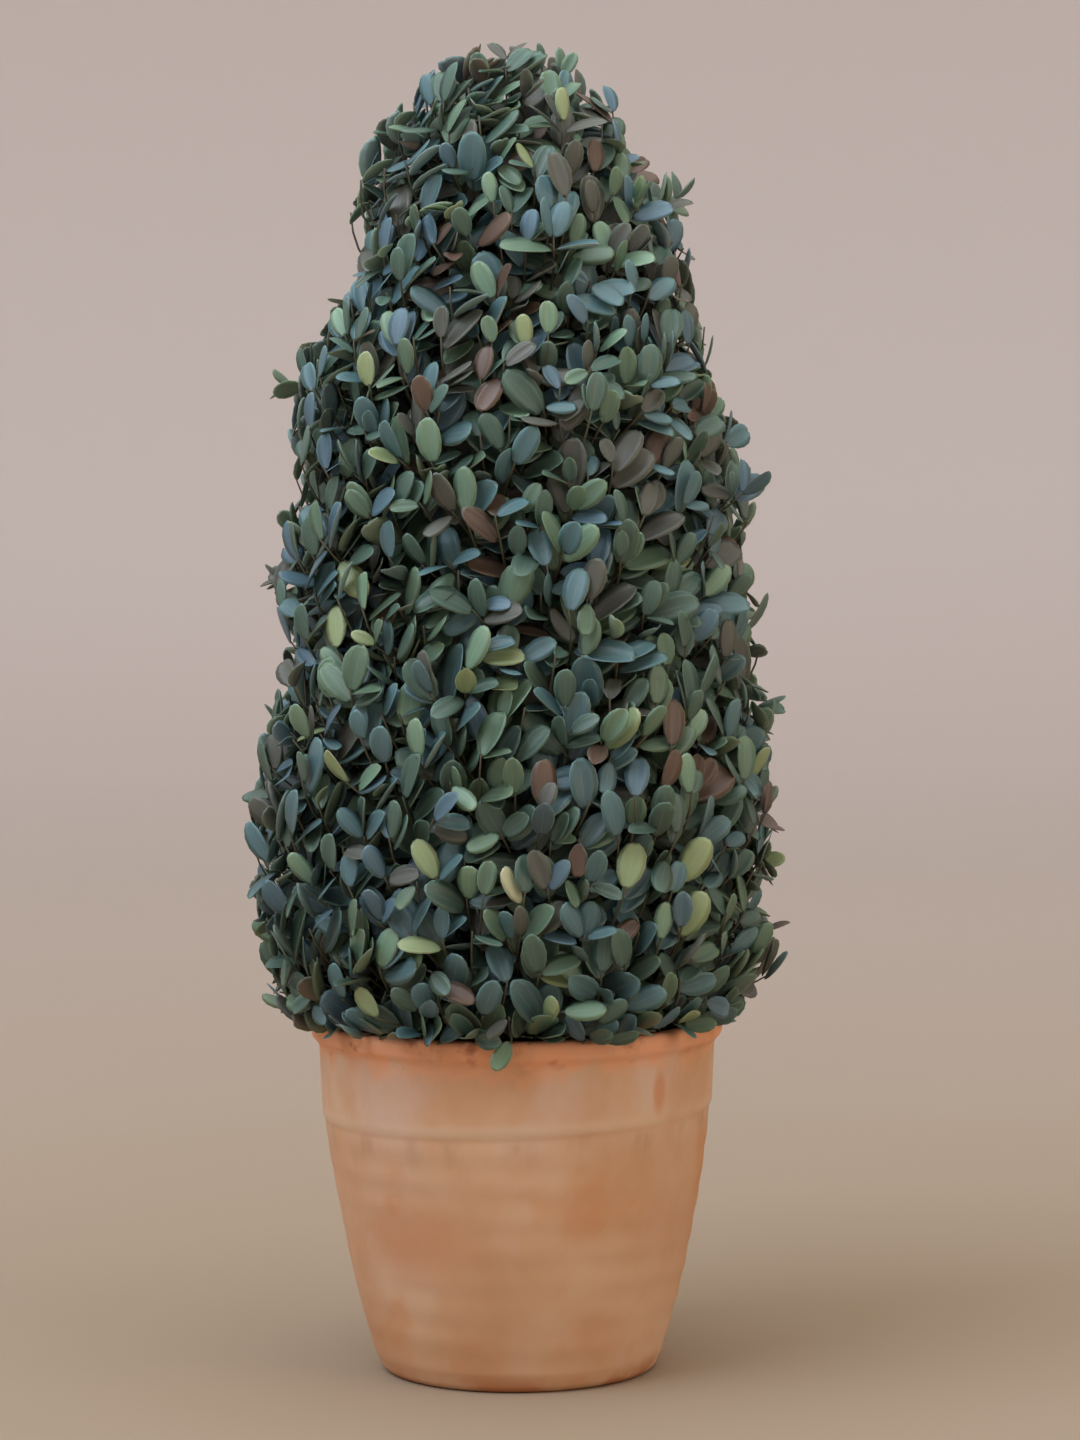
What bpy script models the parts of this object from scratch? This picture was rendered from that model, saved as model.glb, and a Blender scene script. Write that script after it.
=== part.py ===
"""A clipped boxwood cone in a lime-washed terracotta pot.

Metres, +Z up. The origin is the centre of the pot's flat underside. The side seen first faces -Y.
"""
import itertools
import math
import random
from collections import namedtuple

import bmesh
import bpy
from mathutils import Vector
from mathutils.bvhtree import BVHTree

MM = 0.001
PLANT_HEIGHT = 540 * MM
POT_HEIGHT = 142 * MM
FIT_GAP = 0.3 * MM
UP = Vector((0.0, 0.0, 1.0))

# Pot
POT_SIDES = 56
LIP_RADIUS = 82.5 * MM
LIP_HEIGHT = 8 * MM
LIP_ROUND = 2.5 * MM
MOUTH_ROUND = 2 * MM
LIP_UNDERCUT = 1.5 * MM
BAND_TOP_RADIUS = 79.4 * MM
BAND_FOOT_RADIUS = 76.6 * MM
BAND_FOOT = 105 * MM
BAND_STEP = 1.3 * MM
BAND_CHAMFER = 0.6 * MM
BODY_FOOT_RADIUS = 55.5 * MM
BODY_BULGE = 0.45
BODY_RINGS = 6
FOOT_RING_RADIUS = 51.3 * MM
FOOT_ROUND = 5 * MM
WALL = 7 * MM
FLOOR = 9 * MM
DRAIN_RADIUS = 11 * MM

# Soil
SOIL_SIDES = 32
SOIL_TOP = 131 * MM
SOIL_FALL = 4 * MM
SOIL_CROWN_RADIUS = 18 * MM

# Stem inside the crown's foot
STEM_SIDES = 16
STEM_TOP = 146 * MM
STEM_FLARE_RADIUS = 13 * MM
STEM_FOOT_RADIUS = 8.5 * MM
STEM_TIP_RADIUS = 6.5 * MM
STEM_RINGS = 5
STEM_LEAN = math.radians(2.5)
CROWN_STEM_SIDES = 8

# Crown outline: height and radius, as shares of its full height and radius
CROWN_RADIUS = 105 * MM
CROWN_SHAPE = (
    (0.00, 0.82), (0.06, 0.97), (0.17, 1.01), (0.32, 1.00), (0.52, 0.88), (0.65, 0.84),
    (0.79, 0.63), (0.90, 0.53), (0.96, 0.34), (0.99, 0.20), (1.00, 0.00),
)
OUTLINE_STEPS = 12
# Tufts that the shears left proud or cut short: azimuth, height, swell
TUFTS = (
    (math.radians(0), 455 * MM, 8 * MM),
    (math.radians(180), 446 * MM, -9 * MM),
    (math.radians(180), 486 * MM, 9 * MM),
    (math.radians(178), 402 * MM, 8 * MM),
    (math.radians(180), 352 * MM, -5 * MM),
    (math.radians(180), 290 * MM, -7 * MM),
    (math.radians(-5), 288 * MM, 5 * MM),
    (math.radians(-8), 364 * MM, 9 * MM),
    (math.radians(95), 420 * MM, 6 * MM),
    (math.radians(70), 300 * MM, -5 * MM),
)
TUFT_SPREAD = 24 * MM
OVERSHOOT = 4 * MM
RIM_CLEARANCE = 1 * MM
HANG = 7 * MM

# Core that the sprigs stand out of
CORE_DEPTH = 39 * MM
CORE_SIDES = 16
CORE_RINGS = 11
CORE_ROUGHNESS = 2 * MM
CORE_FOOT = 140 * MM
CORE_FOOT_RADIUS = 62 * MM
CORE_HOLLOW = 11 * MM
CORE_SHOULDER = 175 * MM
CORE_TIP_RADIUS = 8 * MM

# Sprigs, in rows round the crown
SEED = 31
ROW_STEP = 36 * MM
FIRST_ROW = 2 * MM
SPRIG_STEP = 48 * MM
FOOT_SPRIG_STEP = 29 * MM
FOOT_SPRIG_TURN = math.radians(20)
SPRIG_CLIMB = math.radians(20)
LOWEST_CLIMB = math.radians(-10)
HIGHEST_CLIMB = math.radians(88)
SPRIG_JITTER = math.radians(9)
REACH_JITTER = (1 * MM, 7 * MM)
ROOT_DEPTH = 5 * MM
TWIG_SIDES = 3
TWIG_RADIUS = 1.7 * MM
TWIG_TAPER = 0.75

# Leaves, in pairs on each twig, larger than life because they are fewer
LEAF_LENGTH = 33 * MM
LEAF_WIDTH = 19 * MM
LEAF_CUP = 1.7 * MM
LEAF_SIZES = (1.0, 1.1)
LEAF_SHRINK = 0.04
LEAF_TURN = 0.2
LEAF_NOD = 0.08
LEAF_TRIES = 6
LEAF_PAIRS = 3
PAIR_TILT = (math.radians(40), math.radians(64), math.radians(78))
PAIR_STEP = 10 * MM
TIP_INSET = 1.5 * MM

# Corner numbers of each face: the flat underside first, then the raised upper side
LEAF_FACES = ((0, 1, 4), (1, 3, 4), (1, 2, 3), (1, 0, 5), (2, 1, 5), (3, 2, 5), (4, 3, 5), (0, 4, 5))
TWIG_FACES = ((2, 1, 0), (3, 4, 5), (0, 1, 4, 3), (1, 2, 5, 4), (2, 0, 3, 5))

Sprig = namedtuple("Sprig", "foot tip out spin")


def clear_scene():
    for item in list(bpy.data.objects):
        bpy.data.objects.remove(item)


def make_material(name, colour, roughness):
    """A plain Principled material of one colour."""
    material = bpy.data.materials.new(name)
    material.use_nodes = True
    shader = material.node_tree.nodes["Principled BSDF"]
    shader.inputs["Base Color"].default_value = (*colour, 1.0)
    shader.inputs["Roughness"].default_value = roughness
    shader.inputs["Metallic"].default_value = 0.0
    material.diffuse_color = (*colour, 1.0)
    return material


def add_object(name, mesh, material):
    piece = bpy.data.objects.new(name, mesh)
    bpy.context.scene.collection.objects.link(piece)
    mesh.materials.append(material)
    return piece


def shade_round(mesh):
    mesh.shade_smooth()
    mesh.set_sharp_from_angle(angle=math.radians(40))


def arc(centre, radius, start, end, steps):
    """Points along a round stretch of an outline; the angles are in degrees."""
    points = []
    for step in range(steps + 1):
        angle = math.radians(start + (end - start) * step / steps)
        points.append((centre[0] + radius * math.cos(angle), centre[1] + radius * math.sin(angle)))
    return points


def turned_mesh(name, outline, sides, closed):
    """Turn an outline of (radius, height) points about Z. A closed one returns to its first point."""
    shape = bmesh.new()
    corners = [shape.verts.new((radius, 0.0, height)) for radius, height in outline]
    edges = [shape.edges.new(pair) for pair in zip(corners, corners[1:])]
    if closed:
        edges.append(shape.edges.new((corners[-1], corners[0])))
    bmesh.ops.spin(shape, geom=corners + edges, cent=(0, 0, 0), axis=UP, angle=math.tau,
                   steps=sides, use_merge=True)
    bmesh.ops.remove_doubles(shape, verts=shape.verts, dist=0.01 * MM)
    bmesh.ops.recalc_face_normals(shape, faces=shape.faces)
    mesh = bpy.data.meshes.new(name)
    shape.to_mesh(mesh)
    shape.free()
    return mesh


def limb_mesh(name, rings, sides):
    """A closed limb through level rings, each given as its centre and radius."""
    shape = bmesh.new()
    loops = []
    for centre, radius in rings:
        angles = [math.tau * side / sides for side in range(sides)]
        loops.append([shape.verts.new(centre + Vector((math.cos(angle), math.sin(angle), 0.0)) * radius)
                      for angle in angles])
    for lower, upper in zip(loops, loops[1:]):
        for side in range(sides):
            after = (side + 1) % sides
            shape.faces.new((lower[side], lower[after], upper[after], upper[side]))
    shape.faces.new(list(reversed(loops[0])))
    shape.faces.new(loops[-1])
    mesh = bpy.data.meshes.new(name)
    shape.to_mesh(mesh)
    shape.free()
    return mesh


def body_radius(height):
    """Outer radius of the pot's bulging body below the band."""
    share = height / BAND_FOOT
    rise = (1 + BODY_BULGE) * share - BODY_BULGE * share ** 2
    return BODY_FOOT_RADIUS + (BAND_FOOT_RADIUS - BAND_STEP - BODY_FOOT_RADIUS) * rise


def inner_radius(height):
    """Radius of the pot's inside, a wall's thickness in from the outside."""
    if height < BAND_FOOT:
        return body_radius(height) - WALL
    share = (height - BAND_FOOT) / (POT_HEIGHT - BAND_FOOT)
    foot = body_radius(BAND_FOOT) - WALL
    mouth = LIP_RADIUS - WALL - BAND_STEP
    return foot + (mouth - foot) * share


def build_pot():
    """Thrown pot: a bulging body, a band that steps out, a rounded lip and a drain hole."""
    lip_foot = POT_HEIGHT - LIP_HEIGHT
    lip_centre = LIP_RADIUS - LIP_ROUND
    mouth_centre = (inner_radius(POT_HEIGHT) + MOUTH_ROUND, POT_HEIGHT - MOUTH_ROUND)
    outline = [(DRAIN_RADIUS, 0.0)]
    outline += arc((FOOT_RING_RADIUS, FOOT_ROUND), FOOT_ROUND, -90, -8, 4)
    for ring in range(1, BODY_RINGS + 1):
        height = (BAND_FOOT - BAND_CHAMFER) * ring / BODY_RINGS
        outline.append((body_radius(height), height))
    outline += [(BAND_FOOT_RADIUS, BAND_FOOT + BAND_CHAMFER), (BAND_TOP_RADIUS, lip_foot - LIP_UNDERCUT)]
    outline += arc((lip_centre, lip_foot + LIP_ROUND), LIP_ROUND, -60, 0, 2)
    outline += arc((lip_centre, POT_HEIGHT - LIP_ROUND), LIP_ROUND, 0, 90, 3)
    outline += arc(mouth_centre, MOUTH_ROUND, 90, 180, 2)
    outline += [(inner_radius(height), height) for height in (BAND_FOOT, BAND_FOOT / 2, FLOOR)]
    outline.append((DRAIN_RADIUS, FLOOR))
    mesh = turned_mesh("terracotta_pot", outline, POT_SIDES, closed=True)
    shade_round(mesh)
    clay = make_material("limewashed_terracotta", (0.46, 0.21, 0.10), 0.85)
    return add_object("terracotta_pot", mesh, clay)


def build_soil():
    """Potting soil that fills the pot to a finger's breadth below its lip."""
    edge = SOIL_TOP - SOIL_FALL
    foot = FLOOR + FIT_GAP
    outline = [(0.0, foot)]
    levels = (foot, BAND_FOOT / 2, BAND_FOOT, edge)
    outline += [(inner_radius(level) - 2 * FIT_GAP, level) for level in levels]
    outline += [(inner_radius(edge) * 0.7, SOIL_TOP - SOIL_FALL * 0.4), (SOIL_CROWN_RADIUS, SOIL_TOP)]
    outline.append((0.0, SOIL_TOP))
    mesh = turned_mesh("potting_soil", outline, SOIL_SIDES, closed=False)
    shade_round(mesh)
    return add_object("potting_soil", mesh, make_material("potting_soil", (0.045, 0.030, 0.020), 1.0))


def stem_axis(height):
    """Where the leaning stem's middle is at a height."""
    return Vector(((height - SOIL_TOP) * math.tan(STEM_LEAN), 0.0, height))


def build_stem():
    """Short woody stem, flared at the soil, that carries the crown from inside."""
    foot = SOIL_TOP + FIT_GAP
    rings = []
    for ring in range(STEM_RINGS + 1):
        share = (ring / STEM_RINGS) ** 2
        flare = (STEM_FLARE_RADIUS - STEM_FOOT_RADIUS) * max(1 - 2 * share, 0) ** 2
        taper = STEM_FOOT_RADIUS + (STEM_TIP_RADIUS - STEM_FOOT_RADIUS) * share
        rings.append((stem_axis(foot + (STEM_TOP - foot) * share), taper + flare))
    mesh = limb_mesh("stem", rings, STEM_SIDES)
    shade_round(mesh)
    return add_object("stem", mesh, make_material("boxwood_bark", (0.16, 0.12, 0.08), 0.9))


def smooth_through(points, steps):
    """Catmull-Rom curve through (height, radius) points."""
    before_first = tuple(2 * a - b for a, b in zip(points[0], points[1]))
    after_last = tuple(2 * a - b for a, b in zip(points[-1], points[-2]))
    chain = [before_first, *points, after_last]
    curve = []
    for knots in zip(chain, chain[1:], chain[2:], chain[3:]):
        for step in range(steps):
            t = step / steps
            curve.append(tuple(
                0.5 * (2 * b + (c - a) * t + (2 * a - 5 * b + 4 * c - d) * t ** 2
                       + (3 * b - a - 3 * c + d) * t ** 3)
                for a, b, c, d in zip(*knots)))
    curve.append(points[-1])
    return curve


class Crown:
    """The clipped space: its radius at a height, and points along its outline."""

    def __init__(self):
        span = PLANT_HEIGHT - POT_HEIGHT
        knots = [(POT_HEIGHT + high * span, wide * CROWN_RADIUS) for high, wide in CROWN_SHAPE]
        self.curve = [Vector((radius, height)) for height, radius in smooth_through(knots, OUTLINE_STEPS)]
        self.lengths = [0.0]
        for start, end in zip(self.curve, self.curve[1:]):
            self.lengths.append(self.lengths[-1] + (end - start).length)
        self.length = self.lengths[-1]

    def at(self, length):
        """Point (radius, height) and outward slope angle at a length along the outline."""
        index = 0
        while index < len(self.curve) - 2 and self.lengths[index + 1] < length:
            index += 1
        start, end = self.curve[index], self.curve[index + 1]
        share = (length - self.lengths[index]) / (self.lengths[index + 1] - self.lengths[index])
        along = end - start
        return start.lerp(end, share), math.atan2(-along.x, along.y)

    def swell(self, azimuth, height):
        """How far the tufts push the outline out, or in, at an azimuth and a height."""
        total = 0.0
        for tuft_azimuth, tuft_height, tuft_swell in TUFTS:
            aside = math.remainder(azimuth - tuft_azimuth, math.tau) * CROWN_RADIUS
            distance = math.hypot(aside, height - tuft_height)
            total += tuft_swell * math.exp(-0.5 * (distance / TUFT_SPREAD) ** 2)
        return total

    def radius(self, azimuth, height):
        """Radius of the outline with its tufts. Below the lip it stays as it is at the lip."""
        height = max(height, POT_HEIGHT)
        for start, end in zip(self.curve, self.curve[1:]):
            if start.y <= height <= end.y:
                share = (height - start.y) / (end.y - start.y)
                return start.lerp(end, share).x + self.swell(azimuth, height)
        return 0.0

    def holds(self, point):
        """Whether a point lies in the crown's space, clear of the soil and the pot's lip."""
        out = math.hypot(point.x, point.y)
        lowest = POT_HEIGHT + RIM_CLEARANCE
        if out < inner_radius(POT_HEIGHT) - RIM_CLEARANCE or out > LIP_RADIUS + RIM_CLEARANCE:
            lowest = POT_HEIGHT - HANG
        reach = self.radius(math.atan2(point.y, point.x), point.z) + OVERSHOOT
        return lowest <= point.z <= PLANT_HEIGHT and out <= reach


def core_outline(crown):
    """The core follows the crown's outline at an even depth, up to where it closes on the axis."""
    rings = [(CORE_FOOT_RADIUS, CORE_FOOT)]
    for ring in range(CORE_RINGS + 1):
        point, slope = crown.at(crown.length * ring / CORE_RINGS)
        radius = point.x - CORE_DEPTH * math.cos(slope)
        height = point.y - CORE_DEPTH * math.sin(slope)
        if radius > CORE_TIP_RADIUS and height > CORE_SHOULDER:
            rings.append((radius, height))
    return rings


def within(core, point, depth):
    """Whether a point is at least a depth inside the core."""
    radius = math.hypot(point.x, point.y)
    for (low_radius, low), (high_radius, high) in zip(core, core[1:]):
        if low + depth <= point.z <= high:
            share = (point.z - low) / (high - low)
            return radius < low_radius + (high_radius - low_radius) * share - depth
    return False


def leaf_corners(foot, along, face, length, width):
    """Six corners of a leaf: foot, two sides, two tip corners and the raised middle."""
    side = along.cross(face)
    flat = ((0.0, 0.0), (-0.5, 0.54), (-0.24, 0.96), (0.24, 0.96), (0.5, 0.54))
    corners = [foot + side * (across * width) + along * (out * length) for across, out in flat]
    corners.append(foot + along * (0.52 * length) + face * LEAF_CUP)
    return corners


def twig_corners(foot, tip):
    """A three-sided twig that narrows to its tip."""
    turn = (tip - foot).to_track_quat("Z", "Y")
    corners = []
    for end, radius in ((foot, TWIG_RADIUS), (tip, TWIG_RADIUS * TWIG_TAPER)):
        for side in range(TWIG_SIDES):
            angle = math.tau * side / TWIG_SIDES
            corners.append(end + turn @ Vector((radius * math.cos(angle), radius * math.sin(angle), 0.0)))
    return corners


def place_sprigs(crown, core, draw):
    """Twigs in rows round the crown, each from inside the core out to near the clipped outline."""
    sprigs = []
    rows = round((crown.length - FIRST_ROW) / ROW_STEP)
    for row in range(rows + 1):
        point, slope = crown.at(FIRST_ROW + (crown.length - FIRST_ROW) * row / rows)
        spacing = SPRIG_STEP if row else FOOT_SPRIG_STEP
        spin = math.pi if row else FOOT_SPRIG_TURN
        count = max(1, round(math.tau * point.x / spacing))
        first = math.tau * (0.5 * (row % 2) + draw.uniform(-0.1, 0.1)) / count
        for index in range(count):
            azimuth = first + math.tau * (index + draw.uniform(-0.15, 0.15)) / count
            climb = min(max(slope + SPRIG_CLIMB, LOWEST_CLIMB), HIGHEST_CLIMB)
            climb += draw.uniform(-SPRIG_JITTER, SPRIG_JITTER)
            heading = azimuth + draw.uniform(-SPRIG_JITTER, SPRIG_JITTER)
            level = Vector((math.cos(heading), math.sin(heading), 0.0))
            out = level * math.cos(climb) + UP * math.sin(climb)
            reach = point.x + crown.swell(azimuth, point.y)
            edge = Vector((reach * math.cos(azimuth), reach * math.sin(azimuth), point.y))
            spare = draw.uniform(*REACH_JITTER) if row < rows else REACH_JITTER[1]
            tip = edge - out * (LEAF_LENGTH * math.cos(PAIR_TILT[0]) - spare)
            foot = tip.copy()
            while not within(core, foot, ROOT_DEPTH) and (tip - foot).length < CORE_DEPTH:
                foot -= out * MM
            if within(core, foot, ROOT_DEPTH):
                sprigs.append(Sprig(foot, tip, out, draw.uniform(-spin, spin)))
    return sprigs


def leaf_on(sprig, pair, opposite, attempt, draw):
    """Corners of one leaf of a pair. Each further attempt turns it more and makes it smaller."""
    turn = sprig.out.to_track_quat("Z", "Y")
    spin = sprig.spin + math.pi / 2 * pair + math.pi * opposite
    spin += draw.uniform(-LEAF_TURN, LEAF_TURN) * (1 + attempt)
    tilt = PAIR_TILT[pair] + draw.uniform(-LEAF_NOD, LEAF_NOD)
    aside = turn @ Vector((math.cos(spin), math.sin(spin), 0.0))
    along = aside * math.sin(tilt) + sprig.out * math.cos(tilt)
    face = (sprig.out - along * sprig.out.dot(along)).normalized()
    node = sprig.tip - sprig.out * (TIP_INSET + PAIR_STEP * pair) + aside * FIT_GAP
    size = draw.uniform(*LEAF_SIZES) - LEAF_SHRINK * attempt
    return leaf_corners(node, along, face, LEAF_LENGTH * size, LEAF_WIDTH * size)


def grow_leaves(crown, sprigs, obstacles, draw):
    """Pairs of leaves on every twig. A leaf that would leave the space or touch another is skipped."""
    twigs = [BVHTree.FromPolygons(twig_corners(sprig.foot, sprig.tip), TWIG_FACES) for sprig in sprigs]
    placed = []
    for own, sprig in enumerate(sprigs):
        near_twigs = [twig for other, twig in enumerate(twigs)
                      if other != own and (sprigs[other].tip - sprig.tip).length < 3 * LEAF_LENGTH]
        near_leaves = [surface for corners, surface in placed
                       if (corners[0] - sprig.tip).length < 3 * LEAF_LENGTH]
        others = obstacles + near_twigs + near_leaves
        for pair, opposite in itertools.product(range(LEAF_PAIRS), range(2)):
            for attempt in range(LEAF_TRIES):
                corners = leaf_on(sprig, pair, opposite, attempt, draw)
                surface = BVHTree.FromPolygons(corners, LEAF_FACES)
                inside = all(crown.holds(corner) for corner in corners)
                if inside and not any(surface.overlap(other) for other in others):
                    placed.append((corners, surface))
                    others.append(surface)
                    break
    return [corners for corners, surface in placed]


def solid_mesh(name, corners, faces):
    mesh = bpy.data.meshes.new(name)
    mesh.from_pydata(corners, [], faces)
    return mesh


def surface_tree(mesh):
    corners = [corner.co for corner in mesh.vertices]
    return BVHTree.FromPolygons(corners, [face.vertices for face in mesh.polygons])


def join_all(body, meshes):
    """Fuse the closed meshes onto the body with one union, and apply it."""
    parts = bpy.data.collections.new("sprigs")
    bpy.context.scene.collection.children.link(parts)
    for mesh in meshes:
        parts.objects.link(bpy.data.objects.new(mesh.name, mesh))
    union = body.modifiers.new("union", "BOOLEAN")
    union.operation = "UNION"
    union.operand_type = "COLLECTION"
    union.collection = parts
    union.solver = "EXACT"
    bpy.context.view_layer.update()
    evaluated = body.evaluated_get(bpy.context.evaluated_depsgraph_get())
    joined = bpy.data.meshes.new_from_object(evaluated)
    body.modifiers.remove(union)
    body.data = joined
    for part in list(parts.objects):
        bpy.data.objects.remove(part)
    bpy.data.collections.remove(parts)


def build_foliage(neighbours):
    """The clipped crown: a core on its own short stem, with twigs and leaves that stand out of it."""
    draw = random.Random(SEED)
    crown = Crown()
    core = core_outline(crown)
    core_middle = CORE_FOOT + CORE_HOLLOW
    outline = [(0.0, core_middle), *core, (0.0, core[-1][1] + CORE_TIP_RADIUS)]
    core_mesh = turned_mesh("foliage", outline, CORE_SIDES, closed=False)
    for corner in core_mesh.vertices:
        corner.co += Vector([draw.uniform(-CORE_ROUGHNESS, CORE_ROUGHNESS) for axis in range(3)])
    foliage = add_object("foliage", core_mesh, make_material("boxwood_leaves", (0.06, 0.11, 0.07), 0.6))
    obstacles = [surface_tree(core_mesh)] + [surface_tree(neighbour.data) for neighbour in neighbours]
    sprigs = place_sprigs(crown, core, draw)
    leaves = grow_leaves(crown, sprigs, obstacles, draw)
    stem_ends = [stem_axis(STEM_TOP + FIT_GAP), stem_axis(core_middle + ROOT_DEPTH)]
    meshes = [limb_mesh("crown_stem", [(end, STEM_TIP_RADIUS) for end in stem_ends], CROWN_STEM_SIDES)]
    meshes += [solid_mesh("twig", twig_corners(sprig.foot, sprig.tip), TWIG_FACES) for sprig in sprigs]
    meshes += [solid_mesh("leaf", corners, LEAF_FACES) for corners in leaves]
    join_all(foliage, meshes)
    return foliage


clear_scene()
pot = build_pot()
soil = build_soil()
stem = build_stem()
build_foliage([pot, soil, stem])
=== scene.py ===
"""A boxwood clipped to a tall rounded cone, in a lime-washed terracotta pot.

Metres, +Z up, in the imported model's frame. The photographed side faces -Y.
"""
import itertools
import math
import random
from collections import defaultdict, namedtuple

import bpy
import numpy as np
from mathutils import Matrix, Quaternion, Vector, noise
from mathutils.bvhtree import BVHTree


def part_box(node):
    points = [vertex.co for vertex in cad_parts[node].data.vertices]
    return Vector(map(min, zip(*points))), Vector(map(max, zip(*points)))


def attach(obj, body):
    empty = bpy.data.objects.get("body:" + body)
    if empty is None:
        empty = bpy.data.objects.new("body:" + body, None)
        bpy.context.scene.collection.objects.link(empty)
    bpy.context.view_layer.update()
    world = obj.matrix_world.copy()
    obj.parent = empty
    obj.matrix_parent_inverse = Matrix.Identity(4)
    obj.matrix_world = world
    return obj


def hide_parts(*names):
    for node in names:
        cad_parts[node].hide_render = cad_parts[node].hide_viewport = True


MM = 0.001
UP = Vector((0.0, 0.0, 1.0))
FIT_GAP = 0.3 * MM

# Sizes that the pot shares with its solid
LIP_HEIGHT = 8 * MM
LIP_ROUND = 2.5 * MM
MOUTH_ROUND = 2 * MM
LIP_SWEEP = 5 * MM
BAND_TOP_RADIUS = 79.4 * MM
BAND_FOOT_RADIUS = 77.8 * MM
BAND_FOOT = 105 * MM
BAND_STEP = 0.9 * MM
BAND_CHAMFER = 1.1 * MM
BODY_FOOT_RADIUS = 55.5 * MM
BODY_BULGE = 0.56
FOOT_RING_RADIUS = 51.3 * MM
FOOT_ROUND = 5 * MM
WALL = 7 * MM
FLOOR = 9 * MM
DRAIN_RADIUS = 11 * MM

# Surface of the thrown clay
POT_SIDES = 160
WALL_RINGS = 52
THROWING_STEP = 13 * MM
THROWING_DEPTH = 0.22 * MM
WALL_WAVER = 0.6 * MM
WAVER_WIDTH = 40 * MM
RIDGE_SEED = UP * 3
# The band's foot slopes across the pot, less so above and below it
BAND_SLOPE = 0.028
BAND_SLOPE_REACH = 0.9
CHIP_DEPTH = 3 * MM
CHIP_WIDTH = 5 * MM
CHIP_RARITY = 0.28
CHIP_SEED = UP * 7

# Where the lime is rubbed off: middle, half width, half height and how much
RUBBED_PLACES = (
    ((-35 * MM, -52 * MM, 62 * MM), 30 * MM, 24 * MM, 0.38),
    ((55 * MM, -55 * MM, 119 * MM), 5 * MM, 12 * MM, 0.6),
    ((30 * MM, -50 * MM, 24 * MM), 20 * MM, 16 * MM, 0.2),
    ((20 * MM, 60 * MM, 70 * MM), 24 * MM, 20 * MM, 0.5),
)

# Compost
SOIL_FALL = 4 * MM
COMPOST_GAP = 0.6 * MM
COMPOST_HOLE = 6 * MM
COMPOST_RINGS = 26
COMPOST_SIDES = 96
LUMP_ROOM = 1.5 * MM
LUMP_RISE = 1.6 * MM
LUMP_WIDTH = 5 * MM
CRUMB_COUNT = 420
CRUMB_SIZES = (1.2 * MM, 3.4 * MM)
CRUMB_MARGIN = 4 * MM
CRUMB_SINK = 0.4
CRUMB_RAGGEDNESS = 0.25

# Stem and boughs
STEM_FLARE_RADIUS = 13 * MM
STEM_FOOT_RADIUS = 8.5 * MM
STEM_TIP_RADIUS = 6.5 * MM
STEM_LEAN = math.radians(2.5)
STEM_RINGS = 14
STEM_SIDES = 64
CRACK_DEPTH = 0.45 * MM
CRACK_WIDTH = 3 * MM
LEADER_TOP = 492 * MM
LEADER_TIP_RADIUS = 1.3 * MM
LEADER_SWAY = 4 * MM
LEADER_RINGS = 40
LEADER_SIDES = 10
BOUGH_STEP = 7.5 * MM
BOUGH_RADIUS = 2.6 * MM
BOUGH_CLIMB = math.radians(38)
# How far inside the clipped outline a bough ends
BOUGH_DEPTH = 46 * MM
# Heights of the first bough above the stem and of the last below the leader's top
FIRST_BOUGH = 6 * MM
LAST_BOUGH = 20 * MM
BOUGH_START = 4 * MM
SHORTEST_BOUGH = 8 * MM
BOUGH_SAG = 0.12
# How much thinner the last bough is than the first
BOUGH_THINNING = 0.45
BOUGH_RINGS = 8
BOUGH_SIDES = 6
GOLDEN_ANGLE = math.radians(137.5)
# A lateral leaves its bough at least this far below its spray, or pays for it
LATERAL_CLIMB = 6 * MM
LATERAL_CLIMB_WEIGHT = 1.2
LATERAL_RADIUS = 1.5 * MM
LATERAL_BEND = 0.4
LATERAL_RINGS = 4

# Clipped outline: height and radius of the leaf tips, as shares of the crown's height and radius
CROWN_TOP = 532 * MM
CROWN_RADIUS = 105 * MM
CROWN_SHAPE = (
    (0.00, 0.90), (0.03, 0.96), (0.08, 0.99), (0.17, 1.01), (0.32, 0.98), (0.53, 0.89), (0.66, 0.84),
    (0.80, 0.65), (0.88, 0.53), (0.94, 0.38), (0.98, 0.22), (1.00, 0.00),
)
OUTLINE_STEPS = 12
# Places where the clipping left the outline full, or cut it back: azimuth in degrees, then height, how
# far and how tall in mm
TUFTS = [
    (math.radians(turn), height * MM, push * MM, tallness * MM)
    for turn, height, push, tallness in (
        (0, 522, -4, 8), (180, 520, 5, 6), (180, 505, -4, 5), (180, 495, 9, 7), (180, 474, 5, 10),
        (0, 488, -7, 6), (0, 471, 14, 10), (180, 444, -13, 13), (180, 413, -3, 8), (180, 400, 4, 6),
        (0, 412, -5, 14), (0, 393, -7, 6), (0, 381, 2, 6), (0, 367, -6, 4), (0, 357, 18, 7),
        (0, 342, -5, 5), (0, 308, 6, 8), (180, 352, -7, 12), (180, 286, -11, 12), (180, 225, 4, 7),
        (180, 206, -3, 6), (180, 187, 3, 7), (180, 148, 5, 10), (0, 286, -4, 14), (0, 188, -5, 8),
        (0, 168, 5, 7), (0, 147, -6, 8), (95, 420, 6, 15), (70, 300, -5, 12), (120, 230, -4, 9),
        (-100, 330, -4, 12), (-75, 250, 3, 12),
    )
]
TUFT_WIDTH = 34 * MM
# The clipping runs in level rows, so the outline steps in a little between them
TIER_DEPTH = 5 * MM
TIER_RISE = 4 * MM
TIER_FULL_RADIUS = 60 * MM
# How far a leaf may reach past the outline, how clear of the lip it stays, and how far it hangs beside it
OVERSHOOT = 2.3 * MM
RIM_CLEARANCE = 0.6 * MM
HANG = 1.5 * MM

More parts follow.
